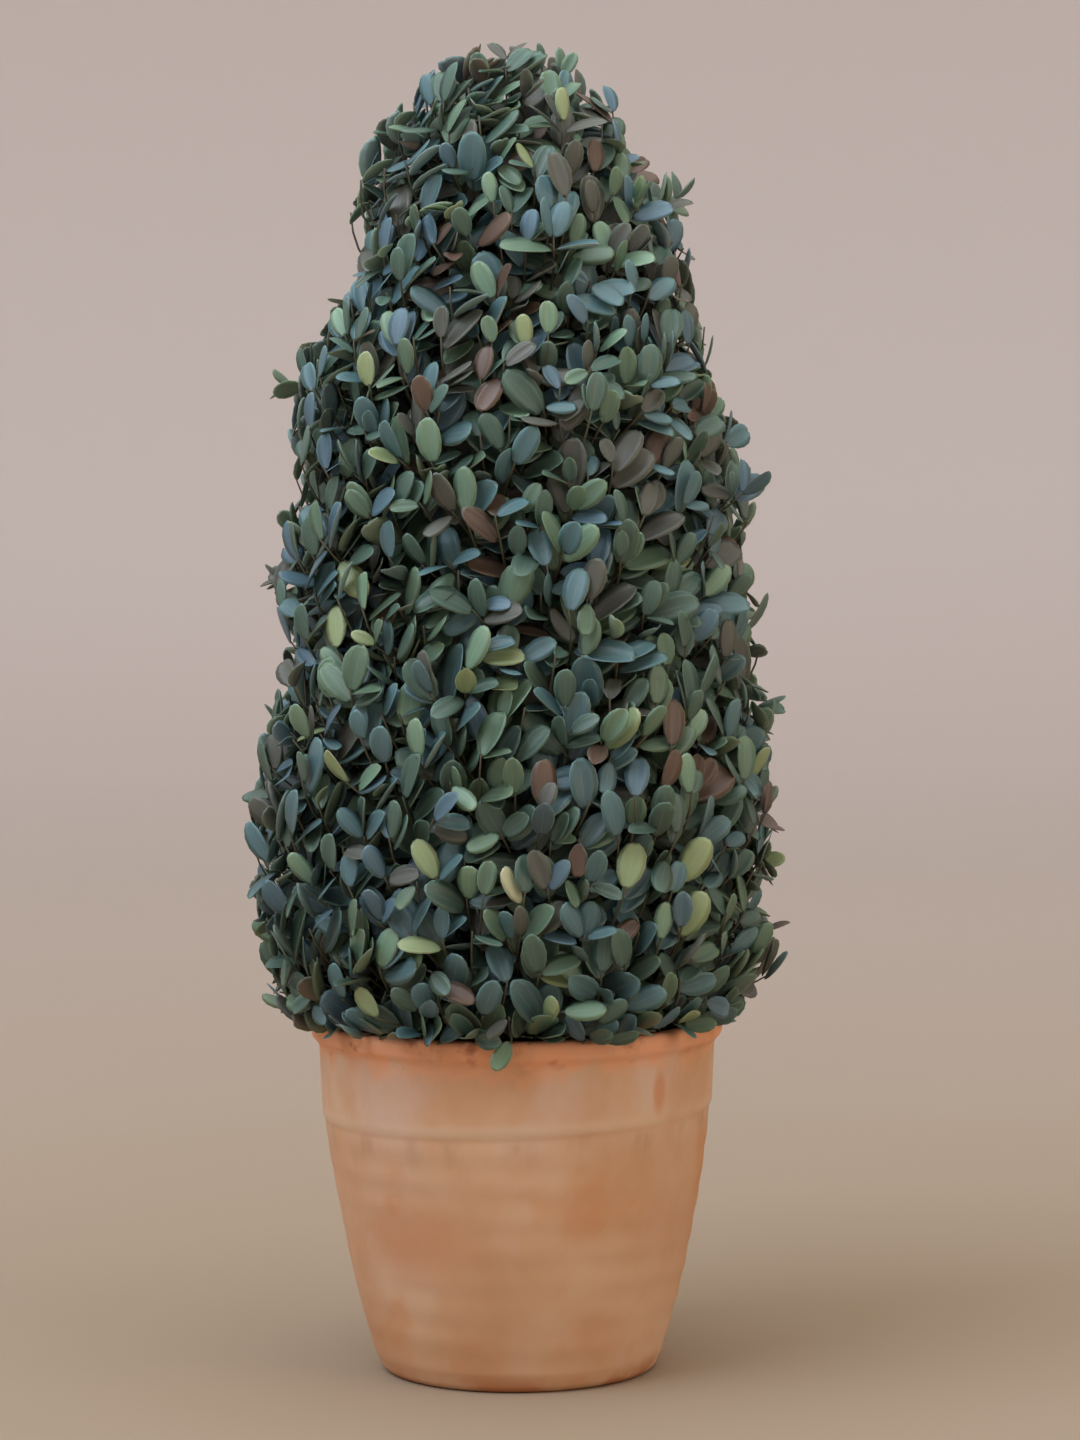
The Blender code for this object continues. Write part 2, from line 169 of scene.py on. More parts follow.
# Sprays, in rows round the crown
SEED = 11
ROW_STEP = 18 * MM
FIRST_ROW = 1 * MM
SPRAY_STEP = 11 * MM
SPRAY_LENGTH = 40 * MM
SPRAY_CLIMB = math.radians(48)
FOOT_CLIMB = math.radians(3)
FOOT_DROOP = math.radians(30)
DROOP_HEIGHT = 34 * MM
LOWEST_CLIMB = math.radians(-4)
HIGHEST_CLIMB = math.radians(86)
SPRAY_JITTER = math.radians(22)
SPRAY_SWING = math.radians(38)
TIP_DEPTH = 12 * MM
DEPTH_JITTER = 4.5 * MM
ROW_JITTER = 2.5 * MM
# Shares of a step that a row, and a spray in it, may be moved round the crown
ROW_SHIFT = 0.1
SPRAY_SHIFT = 0.25
# Twigs stay this far above the lip and, further in, above the compost
TIP_LIFT = 2 * MM
SHOULDER_LIFT = 3 * MM
SHOULDER_RADIUS = 66 * MM
FOOT_LIFT = 4 * MM
# Outside the top rows a few sprays were missed by the shears
STRAY_SHARE = 0.04
STRAY_ROWS = 0.9
STRAY_REACH = 5 * MM
TWIG_RADIUS = 0.75 * MM
TWIG_TAPER = 0.45
TWIG_SIDES = 4
TWIG_STEPS = 5
# The last steps of a twig, which lie among the leaves
BARE_STEPS = 3
BUD_LENGTH = 0.5 * MM

# Leaves
LEAF_LENGTH = 22 * MM
LEAF_WIDTH = 12.6 * MM
LEAF_THICKNESS = 0.4 * MM
# Rows across a blade: share of its length and of its width
LEAF_OUTLINE = (
    (0.0, 0.0), (0.09, 0.43), (0.29, 0.84), (0.53, 1.0), (0.76, 0.91), (0.92, 0.60), (1.0, 0.20),
)
LEAF_NOTCH = 0.3 * MM
RIB_DEPTH = 0.35 * MM
# Cup across and droop along of the leaves that are copied
LEAF_FORMS = ((1.8 * MM, 2.2 * MM), (0.9 * MM, 3.6 * MM), (-0.9 * MM, 1.4 * MM), (2.6 * MM, -0.9 * MM))
# Crossed pairs on each spray: distance from the tip, tilt from the twig and size
PAIRS = (
    (1.0 * MM, math.radians(27), 0.74),
    (5.5 * MM, math.radians(46), 0.94),
    (12.0 * MM, math.radians(60), 1.00),
    (19.0 * MM, math.radians(67), 1.00),
    (27.0 * MM, math.radians(72), 0.96),
    (34.0 * MM, math.radians(74), 0.92),
)
LEAF_SIZES = (0.78, 1.12)
LEAF_WIDTHS = (0.92, 1.08)
# Leaves at the foot of the crown are a little larger than those at its top
FOOT_LEAF = 1.14
TOP_LEAF = 1.0
LEAF_TURN = 0.5
LEAF_NOD = 0.26
LEAF_ROLL = 0.35
LEAF_TRIES = 8
LEAF_SHRINK = 0.04
# How near two leaves' middles are before the leaves are tested for crossing
NEIGHBOUR_REACH = 1.1 * LEAF_LENGTH
# How near its row or column a corner of the blade is taken for one of it
CORNER_REACH = 0.1 * MM
LIGHT_TWIST = 0.22
# Leaves near the tip of a twig are younger and lighter; those further in are darker, partly with age and
# partly as painted shade inside the crown
TIP_TONE = 0.9
PAIR_TONE = 0.19
TONE_SPREAD = 0.24
# Leaves at the foot of the crown are darker than those at its top: painted shade below, painted light above
PAINTED_LIGHT_RISE = 0.64

# Azimuth of the warm-lit side, where slate-grey leaves, which stand for painted cool light, are fewest
WARM_SIDE = -math.pi / 5
# How often a leaf isn't its spray's green, and how often it is none of the greens
MIXED_SHARE = 0.28
ODD_SHARE = 0.04
ODD_KINDS = {"bronze": 3, "pale_green": 3, "yellow_green": 2}

# Leaves of another colour that show on the photographed side: across and height in mm
ACCENTS = {
    "yellow_green": (
        (-74, 243), (-31, 208), (-36, 177), (-59, 156), (11, 161), (58, 215), (69, 214),
        (73, 188), (-63, 317), (-78, 302), (-60, 297), (-11, 286), (-76, 403),
    ),
    "pale_green": (
        (-62, 241), (-16, 238), (-13, 222), (-20, 199), (-89, 204), (-53, 172), (59, 191),
        (24, 174), (27, 152), (74, 252), (-32, 321), (-11, 298), (7, 275), (-38, 263), (90, 313),
        (102, 271), (48, 266), (-12, 468), (-16, 440), (15, 418), (-58, 422),
    ),
    "slate": (
        (-47, 224), (-34, 240), (-54, 210), (47, 237), (21, 204), (-31, 457), (-45, 486),
    ),
    "cream": ((-2, 206),),
    "blue_green": (
        (-32, 159), (81, 167), (49, 158), (-50, 264), (9, 327), (73, 388), (54, 433),
    ),
    "bronze": (
        (11, 243), (-95, 170), (65, 250), (-48, 307), (5, 480), (-4, 448), (-38, 397), (-14, 387),
    ),
}
# What counts against a leaf that lies further in, or is seen edge on, when an accent looks for its leaf
ACCENT_INSET = 0.6
ACCENT_EDGE = 14 * MM
# An accent is one of the lighter leaves of its kind
ACCENT_TONE = 0.75

# Twigs that stand out of the clipped outline: azimuth, height, climb and reach in degrees and mm, kind,
# number of leaves and their size
STRAYS = [
    (math.radians(turn), height * MM, math.radians(climb), reach * MM, *leaves)
    for turn, height, climb, reach, *leaves in (
        (181, 395, 8, 9, "mid_green", 3, 0.75), (178, 318, 4, 10, "dusk", 6, 0.7),
        (184, 342, 48, 7, "deep_green", 4, 0.7), (-3, 266, 24, 10, "deep_green", 3, 0.85),
        (-6, 204, 10, 7, "yellow_green", 2, 1.0), (2, 180, 66, 7, "bronze", 1, 0.8),
        (4, 288, 30, 8, "dusk", 3, 0.75), (-91, 140, -58, 8, "pale_green", 1, 0.85),
        (-30, 520, 64, 7, "mid_green", 2, 0.75), (182, 470, 30, 6, "mid_green", 3, 0.8),
        (62, 240, 20, 8, "mid_green", 4, 0.8), (118, 372, 32, 8, "deep_green", 4, 0.8),
        (140, 200, 12, 7, "yellow_green", 2, 0.9),
    )
]

# Camera and what the photograph's height covers at the plant
CAMERA_PLACE = Vector((0.0104, -1.8, 0.3864))
CAMERA_AIM = Vector((0.0104, 0.0, 0.2604))
VIEW_HEIGHT = 0.575
CAMERA_ROLL = math.radians(-0.5)
SENSOR_WIDTH = 36.0

# Studio
STAGE_RADIUS = 3.6
STAGE_ROUND = 1.2
STAGE_HEIGHT = 2.6
STAGE_SIDES = 128

Spray = namedtuple("Spray", "foot bend tip out spin kind mixed leaves size slack")
Leaf = namedtuple("Leaf", "kind form turn place tone middle")

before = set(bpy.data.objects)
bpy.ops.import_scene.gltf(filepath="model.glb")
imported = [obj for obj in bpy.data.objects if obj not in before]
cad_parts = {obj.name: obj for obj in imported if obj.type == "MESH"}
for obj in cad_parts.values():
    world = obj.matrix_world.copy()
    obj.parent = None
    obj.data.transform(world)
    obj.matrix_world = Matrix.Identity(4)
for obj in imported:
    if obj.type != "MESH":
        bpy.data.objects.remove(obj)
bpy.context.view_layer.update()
pot_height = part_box("terracotta_pot")[1].z
lip_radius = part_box("terracotta_pot")[1].x
soil_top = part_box("potting_soil")[1].z
soil_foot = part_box("potting_soil")[0].z
stem_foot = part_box("stem")[0].z
stem_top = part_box("stem")[1].z
bpy.ops.object.select_all(action="DESELECT")


# Materials

def linear(colour):
    """A linear RGBA colour from sRGB hex."""
    values = [int(colour[start:start + 2], 16) / 255 for start in (1, 3, 5)]
    return (*[v / 12.92 if v <= 0.04045 else ((v + 0.055) / 1.055) ** 2.4 for v in values], 1.0)


def set_inputs(node, inputs):
    """Give each input a value, or a link from a socket or from a node's first one in use."""
    for name, value in inputs.items():
        if isinstance(value, bpy.types.Node):
            value = next(socket for socket in value.outputs if socket.enabled)
        if isinstance(value, bpy.types.NodeSocket):
            node.id_data.links.new(value, node.inputs[name])
        else:
            node.inputs[name].default_value = value


def add_node(tree, kind, inputs=None, stops=(), **settings):
    """Add a node. Stops fill a colour ramp."""
    node = tree.nodes.new(f"ShaderNode{kind}")
    for name, value in settings.items():
        setattr(node, name, value)
    set_inputs(node, inputs or {})
    for index, (place, colour) in enumerate(stops):
        if index >= 2:
            node.color_ramp.elements.new(place)
        node.color_ramp.elements[index].position = place
        node.color_ramp.elements[index].color = colour
    return node


def new_material(name, roughness, **sockets):
    """A material with its Principled shader's constant sockets set."""
    material = bpy.data.materials.new(name)
    material.use_nodes = True
    shader = material.node_tree.nodes["Principled BSDF"]
    set_inputs(shader, {"Roughness": roughness})
    set_inputs(shader, {socket.replace("_", " "): value for socket, value in sockets.items()})
    return material, material.node_tree, shader


# Colours over the bare clay, in the order they are laid on. A layer shows in clouds of a width, between
# two strengths of the cloud, and by shares at heights; its edge lets the clouds move those heights
PotLayer = namedtuple("PotLayer", "colour upright width detail cloud edge shares")
POT_LAYERS = (
    # Thin lime in soft upright patches, thicker on the band
    PotLayer("#DEC6B4", 0.6, 35 * MM, 4.0, (0.38, 0.72), 0.0,
             ((BAND_FOOT - 12 * MM, 0.22), (BAND_FOOT + 6 * MM, 0.62))),
    # Bare orange clay where the lime is rubbed off
    PotLayer("#D08C5A", 1.0, 28 * MM, 3.0, (0.54, 0.74), 0.0,
             ((BAND_FOOT - 4 * MM, 0.42), (BAND_FOOT, 0.10))),
    # A painted highlight: a pale line along the band's foot, stronger in places
    PotLayer("#E4CAAC", 1.0, 60 * MM, 2.0, (0.25, 0.60), 0.0,
             ((BAND_FOOT - 1 * MM, 0.0), (BAND_FOOT + 1 * MM, 0.5), (BAND_FOOT + 6 * MM, 0.0))),
    # Brown stains that run down from under the band
    PotLayer("#9A6E4E", 0.5, 12 * MM, 3.0, (0.48, 0.78), 0.0,
             ((BAND_FOOT - 22 * MM, 0.0), (BAND_FOOT - 4 * MM, 0.34), (BAND_FOOT + 1 * MM, 0.0))),
    # Redder where hands and leaves rub the lip, with a ragged lower edge
    PotLayer("#F0A87C", 1.0, 11 * MM, 4.0, (0.0, 0.3), 30 * MM,
             ((pot_height - 17 * MM, 0.0), (pot_height - 5 * MM, 0.8))),
    # Moss and dirt on the lip
    PotLayer("#A05E3E", 1.0, 8 * MM, 3.0, (0.52, 0.74), 0.0,
             ((pot_height - 13 * MM, 0.0), (pot_height - 3 * MM, 0.8))),
    # Damp orange foot
    PotLayer("#B96E40", 1.0, 22 * MM, 3.0, (0.40, 0.62), 0.0, ((1 * MM, 0.75), (9 * MM, 0.0))),
)
# Moves each layer's clouds away from the others'
LAYER_SHIFT = 0.31


def limewashed_terracotta():
    """Terracotta, thrown, fired and brushed with thin lime: chalky, matt, and orange where it is worn."""
    material, tree, shader = new_material("limewashed_terracotta", 0.9, Specular_IOR_Level=0.2)
    place = add_node(tree, "TexCoord").outputs["Object"]
    # Height above the floor, measured along the slope of the band's foot
    height = add_node(tree, "VectorMath", {0: place, 1: (-BAND_SLOPE, 0.0, 1.0)},
                      operation="DOT_PRODUCT")
    # Clay tones in soft clouds about 50 mm wide
    clay = add_node(tree, "TexNoise", {"Vector": place, "Scale": 1 / (50 * MM), "Detail": 3.0})
    colour = add_node(tree, "ValToRGB", {"Fac": clay},
                      stops=((0.34, linear("#CE9C74")), (0.68, linear("#DAB28C"))))
    for number, layer in enumerate(POT_LAYERS):
        spot = add_node(tree, "Mapping", {"Vector": place, "Location": (LAYER_SHIFT * number, 0.0, 0.0),
                                          "Scale": (1.0, 1.0, layer.upright)})
        cloud = add_node(tree, "TexNoise",
                         {"Vector": spot, "Scale": 1 / layer.width, "Detail": layer.detail})
        patch = add_node(tree, "MapRange",
                         {"Value": cloud, "From Min": layer.cloud[0], "From Max": layer.cloud[1]},
                         interpolation_type="SMOOTHSTEP")
        moved = add_node(tree, "Math", {0: cloud, 1: layer.edge, 2: height}, operation="MULTIPLY_ADD")
        level = add_node(tree, "MapRange", {"Value": moved, "From Min": layer.edge / 2,
                                            "From Max": layer.edge / 2 + pot_height})
        stops = [(at / pot_height, (share, share, share, 1.0)) for at, share in layer.shares]
        belt = add_node(tree, "ValToRGB", {"Fac": level}, stops)
        share = add_node(tree, "Math", {0: patch, 1: belt}, operation="MULTIPLY")
        colour = add_node(tree, "Mix", {"Factor": share, "A": colour, "B": linear(layer.colour)},
                          data_type="RGBA")
    for middle, width, tallness, strength in RUBBED_PLACES:
        offset = add_node(tree, "VectorMath", {0: place, 1: middle}, operation="SUBTRACT")
        spread = add_node(tree, "Mapping",
                          {"Vector": offset, "Scale": (1 / width, 1 / width, 1 / tallness)})
        away = add_node(tree, "VectorMath", {0: spread}, operation="LENGTH")
        rubbed = add_node(tree, "MapRange",
                          {"Value": away, "From Min": 1.0, "From Max": 0.35, "To Max": strength},
                          interpolation_type="SMOOTHSTEP")
        colour = add_node(tree, "Mix", {"Factor": rubbed, "A": colour, "B": linear("#D08250")},
                          data_type="RGBA")
    # Level throwing lines 1.6 mm apart and fine grit of 0.8 mm
    level = add_node(tree, "Mapping", {"Vector": place, "Scale": (0.10, 0.10, 1.0)})
    lines = add_node(tree, "TexNoise", {"Vector": level, "Scale": 1 / (1.6 * MM)})
    grit = add_node(tree, "TexNoise", {"Vector": place, "Scale": 1 / (0.8 * MM)})
    relief = add_node(tree, "Mix", {"Factor": 0.5, "A": lines, "B": grit}, data_type="FLOAT")
    bump = add_node(tree, "Bump", {"Height": relief, "Strength": 0.25, "Distance": 0.2 * MM})
    set_inputs(shader, {"Base Color": colour, "Normal": bump})
    return material


def grained_material(name, roughness, tones, width, detail, fineness=0.5, stretch=1.0, relief=0.0,
                     rise=0.0, **sockets):
    """A material of one grain in two tones: the grain's width, and its relief's strength and rise."""
    material, tree, shader = new_material(name, roughness, **sockets)
    place = add_node(tree, "TexCoord").outputs["Object"]
    along = add_node(tree, "Mapping", {"Vector": place, "Scale": (1.0, 1.0, stretch)})
    grain = add_node(tree, "TexNoise",
                     {"Vector": along, "Scale": 1 / width, "Detail": detail, "Roughness": fineness})
    stops = [(at, linear(colour)) for at, colour in tones]
    set_inputs(shader, {"Base Color": add_node(tree, "ValToRGB", {"Fac": grain}, stops)})
    if relief:
        bump = add_node(tree, "Bump", {"Height": grain, "Strength": relief, "Distance": rise})
        set_inputs(shader, {"Normal": bump})
    return material


def potting_compost():
    """Peat and bark compost, half dry: crumbly, nearly black, with browner crumbs."""
    return grained_material("potting_compost", 0.95, ((0.35, "#1F1712"), (0.72, "#4A382B")), 3 * MM, 4.0,
                            fineness=0.7, relief=0.8, rise=0.6 * MM, Specular_IOR_Level=0.2)


def boxwood_bark():
    """Boxwood bark, grown: grey-brown, finely cracked along the limb."""
    return grained_material("boxwood_bark", 0.85, ((0.38, "#3A3128"), (0.66, "#786A58")), 1.5 * MM, 4.0,
                            fineness=0.65, stretch=0.25, relief=0.7, rise=0.5 * MM)


def young_twig():
    """Young boxwood twig, grown: four-ridged, smooth and olive, browner with age."""
    return grained_material("young_twig", 0.6, ((0.35, "#454B32"), (0.65, "#4E4534")), 14 * MM, 2.0)


def leaf_face(name, roughness, **sockets):
    """A face of a boxwood leaf, which light passes a little way and comes out green, and its tone: age,
    painted shade and painted light.
    """
    material, tree, shader = new_material(
        name, roughness, Subsurface_Weight=0.35, Subsurface_Scale=LEAF_THICKNESS,
        Subsurface_Radius=(0.7, 1.0, 0.6), **sockets)
    age_and_shade = add_node(tree, "Attribute", attribute_name="leaf_tone").outputs["Fac"]
    return material, tree, shader, age_and_shade


def leaf_upper(kind, dark, light, margin_and_lit_tip):
    """Boxwood leaf, upper face: leathery and waxed, so it has a soft sheen, with a paler rib and margins.
    """
    material, tree, shader, age_and_shade = leaf_face(f"boxwood_leaf_{kind}", 0.46, Coat_Weight=0.12,
                                              Coat_Roughness=0.35)
    blade = add_node(tree, "UVMap", uv_map="blade")
    across, along = add_node(tree, "SeparateXYZ", {"Vector": blade}).outputs[:2]
    # Painted shade darkens the blade towards its foot, and young leaves are lighter all over
    age_and_shade = add_node(tree, "Math", {0: age_and_shade, 1: 0.62, 2: -0.02}, operation="MULTIPLY_ADD")
    tone = add_node(tree, "Math", {0: along, 1: 0.5, 2: age_and_shade}, operation="MULTIPLY_ADD")
    body = add_node(tree, "Mix", {"Factor": tone, "A": linear(dark), "B": linear(light)},
                    data_type="RGBA")
    aside = add_node(tree, "Math", {0: across, 1: 0.5}, operation="SUBTRACT")
    aside = add_node(tree, "Math", {0: aside}, operation="ABSOLUTE")
    # Paler towards the edge and along the rib, and painted light makes it paler towards the tip
    pale = 0.0
    for measure, none, most, share in ((aside, 0.36, 0.50, 0.30), (aside, 0.04, 0.0, 0.22),
                                       (along, 0.6, 1.0, 0.4)):
        part = add_node(tree, "MapRange",
                        {"Value": measure, "From Min": none, "From Max": most, "To Max": share})
        pale = add_node(tree, "Math", {0: pale, 1: part}, operation="MAXIMUM")
    colour = add_node(tree, "Mix", {"Factor": pale, "A": body, "B": linear(margin_and_lit_tip)}, data_type="RGBA")
    set_inputs(shader, {"Base Color": colour})
    return material


def leaf_under(kind, dark, light):
    """Boxwood leaf, underside: unwaxed, so it is duller and paler than the upper face."""
    material, tree, shader, age_and_shade = leaf_face(f"boxwood_leaf_back_{kind}", 0.62)
    colour = add_node(tree, "Mix", {"Factor": age_and_shade, "A": linear(dark), "B": linear(light)},
                      data_type="RGBA")
    set_inputs(shader, {"Base Color": colour})
    return material


# Modelling helpers

def select_points(piece, chosen):
    """Select only the vertices whose place passes the test, and stay in edit mode."""
    bpy.ops.object.mode_set(mode="EDIT")
    bpy.ops.mesh.select_mode(type="VERT")
    bpy.ops.mesh.select_all(action="DESELECT")
    bpy.ops.object.mode_set(mode="OBJECT")
    for corner in piece.data.vertices:
        corner.select = chosen(corner.co)
    bpy.ops.object.mode_set(mode="EDIT")


def finish_piece(piece, name, materials, replaced):
    """Name a finished piece, give it its materials, and tie it to the frame."""
    piece.name = name
    piece.data.name = name
    for material in materials:
        piece.data.materials.append(material)
    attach(piece, "root")
    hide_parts(replaced)
    piece.select_set(False)


def close_ends():
    """Fill the open ends of the active piece."""
    bpy.ops.object.mode_set(mode="EDIT")
    bpy.ops.mesh.select_all(action="DESELECT")
    bpy.ops.mesh.select_non_manifold()
    bpy.ops.mesh.edge_face_add()
    bpy.ops.object.mode_set(mode="OBJECT")


def add_object(name, data):
    """An object in the scene that holds a mesh, a lamp or a camera."""
    added = bpy.data.objects.new(name, data)
    bpy.context.scene.collection.objects.link(added)
    return added


def place_at(azimuth, radius, height):
    """A point at an azimuth, a radius and a height."""
    return Vector((radius * math.cos(azimuth), radius * math.sin(azimuth), height))


def arc(centre, radius, start, end, steps):
    """Points along a round stretch of an outline; the angles are in degrees."""
    points = []
    for step in range(steps + 1):
        angle = math.radians(start + (end - start) * step / steps)
        points.append((centre[0] + radius * math.cos(angle), centre[1] + radius * math.sin(angle)))
    return points


def raise_rings(outline, sides):
    """Extrude a circle through an outline of (radius, height) rings, and return the new object."""
    bpy.ops.mesh.primitive_circle_add(vertices=sides, radius=outline[0][0],
                                      location=(0, 0, outline[0][1]))
    piece = bpy.context.object
    bpy.ops.object.transform_apply(location=True)
    bpy.ops.object.mode_set(mode="EDIT")
    bpy.ops.mesh.select_all(action="SELECT")
    for (radius, height), (next_radius, next_height) in zip(outline, outline[1:]):
        bpy.ops.mesh.extrude_region_move(TRANSFORM_OT_translate={"value": (0, 0, next_height - height)})
        widen = next_radius / radius
        bpy.ops.transform.resize(value=(widen, widen, 1), center_override=(0, 0, 0))
    bpy.ops.mesh.select_all(action="SELECT")
    bpy.ops.mesh.remove_doubles(threshold=0.02 * MM)
    bpy.ops.mesh.normals_make_consistent(inside=False)
    bpy.ops.object.mode_set(mode="OBJECT")
    return piece


# Pot

def body_radius(height):
    """Outer radius of the pot's bulging body below the band."""
    share = height / BAND_FOOT
    rise = (1 + BODY_BULGE) * share - BODY_BULGE * share ** 2
    return BODY_FOOT_RADIUS + (BAND_FOOT_RADIUS - BAND_STEP - BODY_FOOT_RADIUS) * rise


def inner_radius(height):
    """Radius of the pot's inside, a wall's thickness in from the outside."""
    if height < BAND_FOOT:
        return body_radius(height) - WALL
    share = (height - BAND_FOOT) / (pot_height - BAND_FOOT)
    foot = body_radius(BAND_FOOT) - WALL
    mouth = lip_radius - WALL - BAND_STEP
    return foot + (mouth - foot) * share


def pot_outline():
    """The pot's section, from the drain hole round the outside, over the lip and down the inside."""
    lip_foot = pot_height - LIP_HEIGHT
    lip_centre = lip_radius - LIP_ROUND
    outline = [(DRAIN_RADIUS, 0.0)]
    outline += arc((FOOT_RING_RADIUS, FOOT_ROUND), FOOT_ROUND, -90, -8, 6)
    top = BAND_FOOT - BAND_CHAMFER
    for ring in range(1, WALL_RINGS + 1):
        height = FOOT_ROUND + (top - FOOT_ROUND) * ring / WALL_RINGS
        outline.append((body_radius(height), height))
    band_low = (BAND_FOOT_RADIUS, BAND_FOOT + BAND_CHAMFER)
    band_high = (BAND_TOP_RADIUS, lip_foot - LIP_SWEEP / 2)
    rings = WALL_RINGS // 4
    for ring in range(rings + 1):
        share = ring / rings
        outline.append(tuple(low + (high - low) * share for low, high in zip(band_low, band_high)))
    for share in (0.2, 0.4, 0.6, 0.8, 1.0):
        bulge = share * share * (3 - 2 * share)
        outline.append((BAND_TOP_RADIUS + (lip_radius - BAND_TOP_RADIUS) * bulge,
                        lip_foot + LIP_SWEEP * (share - 0.5)))
    outline += arc((lip_centre, pot_height - LIP_ROUND), LIP_ROUND, 0, 90, 6)
    mouth = inner_radius(pot_height) + MOUTH_ROUND
    outline.append(((mouth + lip_centre) / 2, pot_height))
    outline += arc((mouth, pot_height - MOUTH_ROUND), MOUTH_ROUND, 90, 180, 4)
    levels = (soil_top, BAND_FOOT, BAND_FOOT / 2, FLOOR)
    outline += [(inner_radius(height), height) for height in levels]
    return outline + [(DRAIN_RADIUS, FLOOR), (DRAIN_RADIUS, 0.0)]


def roughen_pot(mesh):
    """Throwing ridges, a wall that wavers a little, a sloping band foot, and chips out of the lip."""
    lip_foot = pot_height - LIP_HEIGHT
    for corner in mesh.vertices:
        place = corner.co.copy()
        level = Vector((place.x, place.y, 0.0))
        if level.length < FOOT_RING_RADIUS or place.z < MM:
            continue
        out = level.normalized()
        turn = math.atan2(place.y, place.x)
        ridge = math.sin(math.tau * (place.z / THROWING_STEP + turn / math.tau))
        ridge *= 0.5 + noise.noise(place / WAVER_WIDTH + RIDGE_SEED)
        waver = noise.noise(place / WAVER_WIDTH)
        corner.co += out * (THROWING_DEPTH * ridge * (place.z < BAND_FOOT) + WALL_WAVER * waver)
        from_band = abs(place.z - BAND_FOOT) / (BAND_SLOPE_REACH * (lip_foot - BAND_FOOT))
        corner.co.z += BAND_SLOPE * place.x * max(1 - from_band, 0)
        if place.z > lip_foot:
            chip = max(noise.noise(place / CHIP_WIDTH + CHIP_SEED) - CHIP_RARITY, 0.0)
            height = (place.z - lip_foot) / LIP_HEIGHT
            corner.co -= (out * 0.6 + UP * 0.8) * (CHIP_DEPTH * chip * height)


def build_pot():
    """Thrown pot with a band that steps out and a rounded, chipped lip."""
    pot = raise_rings(pot_outline(), POT_SIDES)
    roughen_pot(pot.data)
    bpy.ops.object.shade_smooth_by_angle(angle=math.radians(40))
    finish_piece(pot, "limewashed_pot", [limewashed_terracotta()], "terracotta_pot")


# Compost

def build_compost(draw):
    """Compost with a crumbly top that rises a little towards the stem."""
    edge = soil_top - SOIL_FALL
    outline = [(COMPOST_HOLE, soil_foot)]
    outline += [(inner_radius(height) - COMPOST_GAP, height)
                for height in (soil_foot, BAND_FOOT / 2, BAND_FOOT, edge)]
    for ring in range(1, COMPOST_RINGS):
        share = ring / COMPOST_RINGS
        radius = (inner_radius(edge) - COMPOST_GAP) * (1 - share)
        outline.append((max(radius, 2 * MM), edge + (soil_top - LUMP_ROOM - edge) * share))
    compost = raise_rings(outline, COMPOST_SIDES)
    close_ends()
    for corner in compost.data.vertices:
        if corner.co.z > edge - MM and corner.co.xy.length < inner_radius(edge) - 2 * MM:
            corner.co.z += LUMP_RISE * noise.noise(corner.co / LUMP_WIDTH)
    bpy.ops.object.shade_smooth_by_angle(angle=math.radians(50))
    material = potting_compost()
    finish_piece(compost, "compost", [material], "potting_soil")
    bpy.ops.mesh.primitive_ico_sphere_add(subdivisions=1, radius=1.0)
    crumb = bpy.context.object
    bpy.ops.object.mode_set(mode="EDIT")
    bpy.ops.transform.vertex_random(offset=CRUMB_RAGGEDNESS, seed=SEED)
    bpy.ops.object.mode_set(mode="OBJECT")
    placements = []
    for _ in range(CRUMB_COUNT):
        azimuth = draw.uniform(0, math.tau)
        radius = (inner_radius(edge) - CRUMB_MARGIN) * math.sqrt(draw.uniform(0.04, 1.0))
        size = draw.uniform(*CRUMB_SIZES)
        height = soil_top - SOIL_FALL * radius / inner_radius(edge) - CRUMB_SINK * size
        turn = Quaternion([draw.gauss(0, 1) for _ in range(4)]).normalized()
        place = place_at(azimuth, radius, height)
        placements.append((0, turn.to_matrix() * (size / 2), place, draw.random()))
    crumbs = join_copies("compost_crumbs", [crumb.data], placements)
    bpy.data.objects.remove(crumb)
    finish_piece(crumbs, "compost_crumbs", [material], "potting_soil")


def read_values(items, field, width=1, kind=np.int64):
    """Numbers of a mesh's corners, loops or faces, as one long row."""
    values = np.empty(len(items) * width, kind)
    items.foreach_get(field, values)
    return values


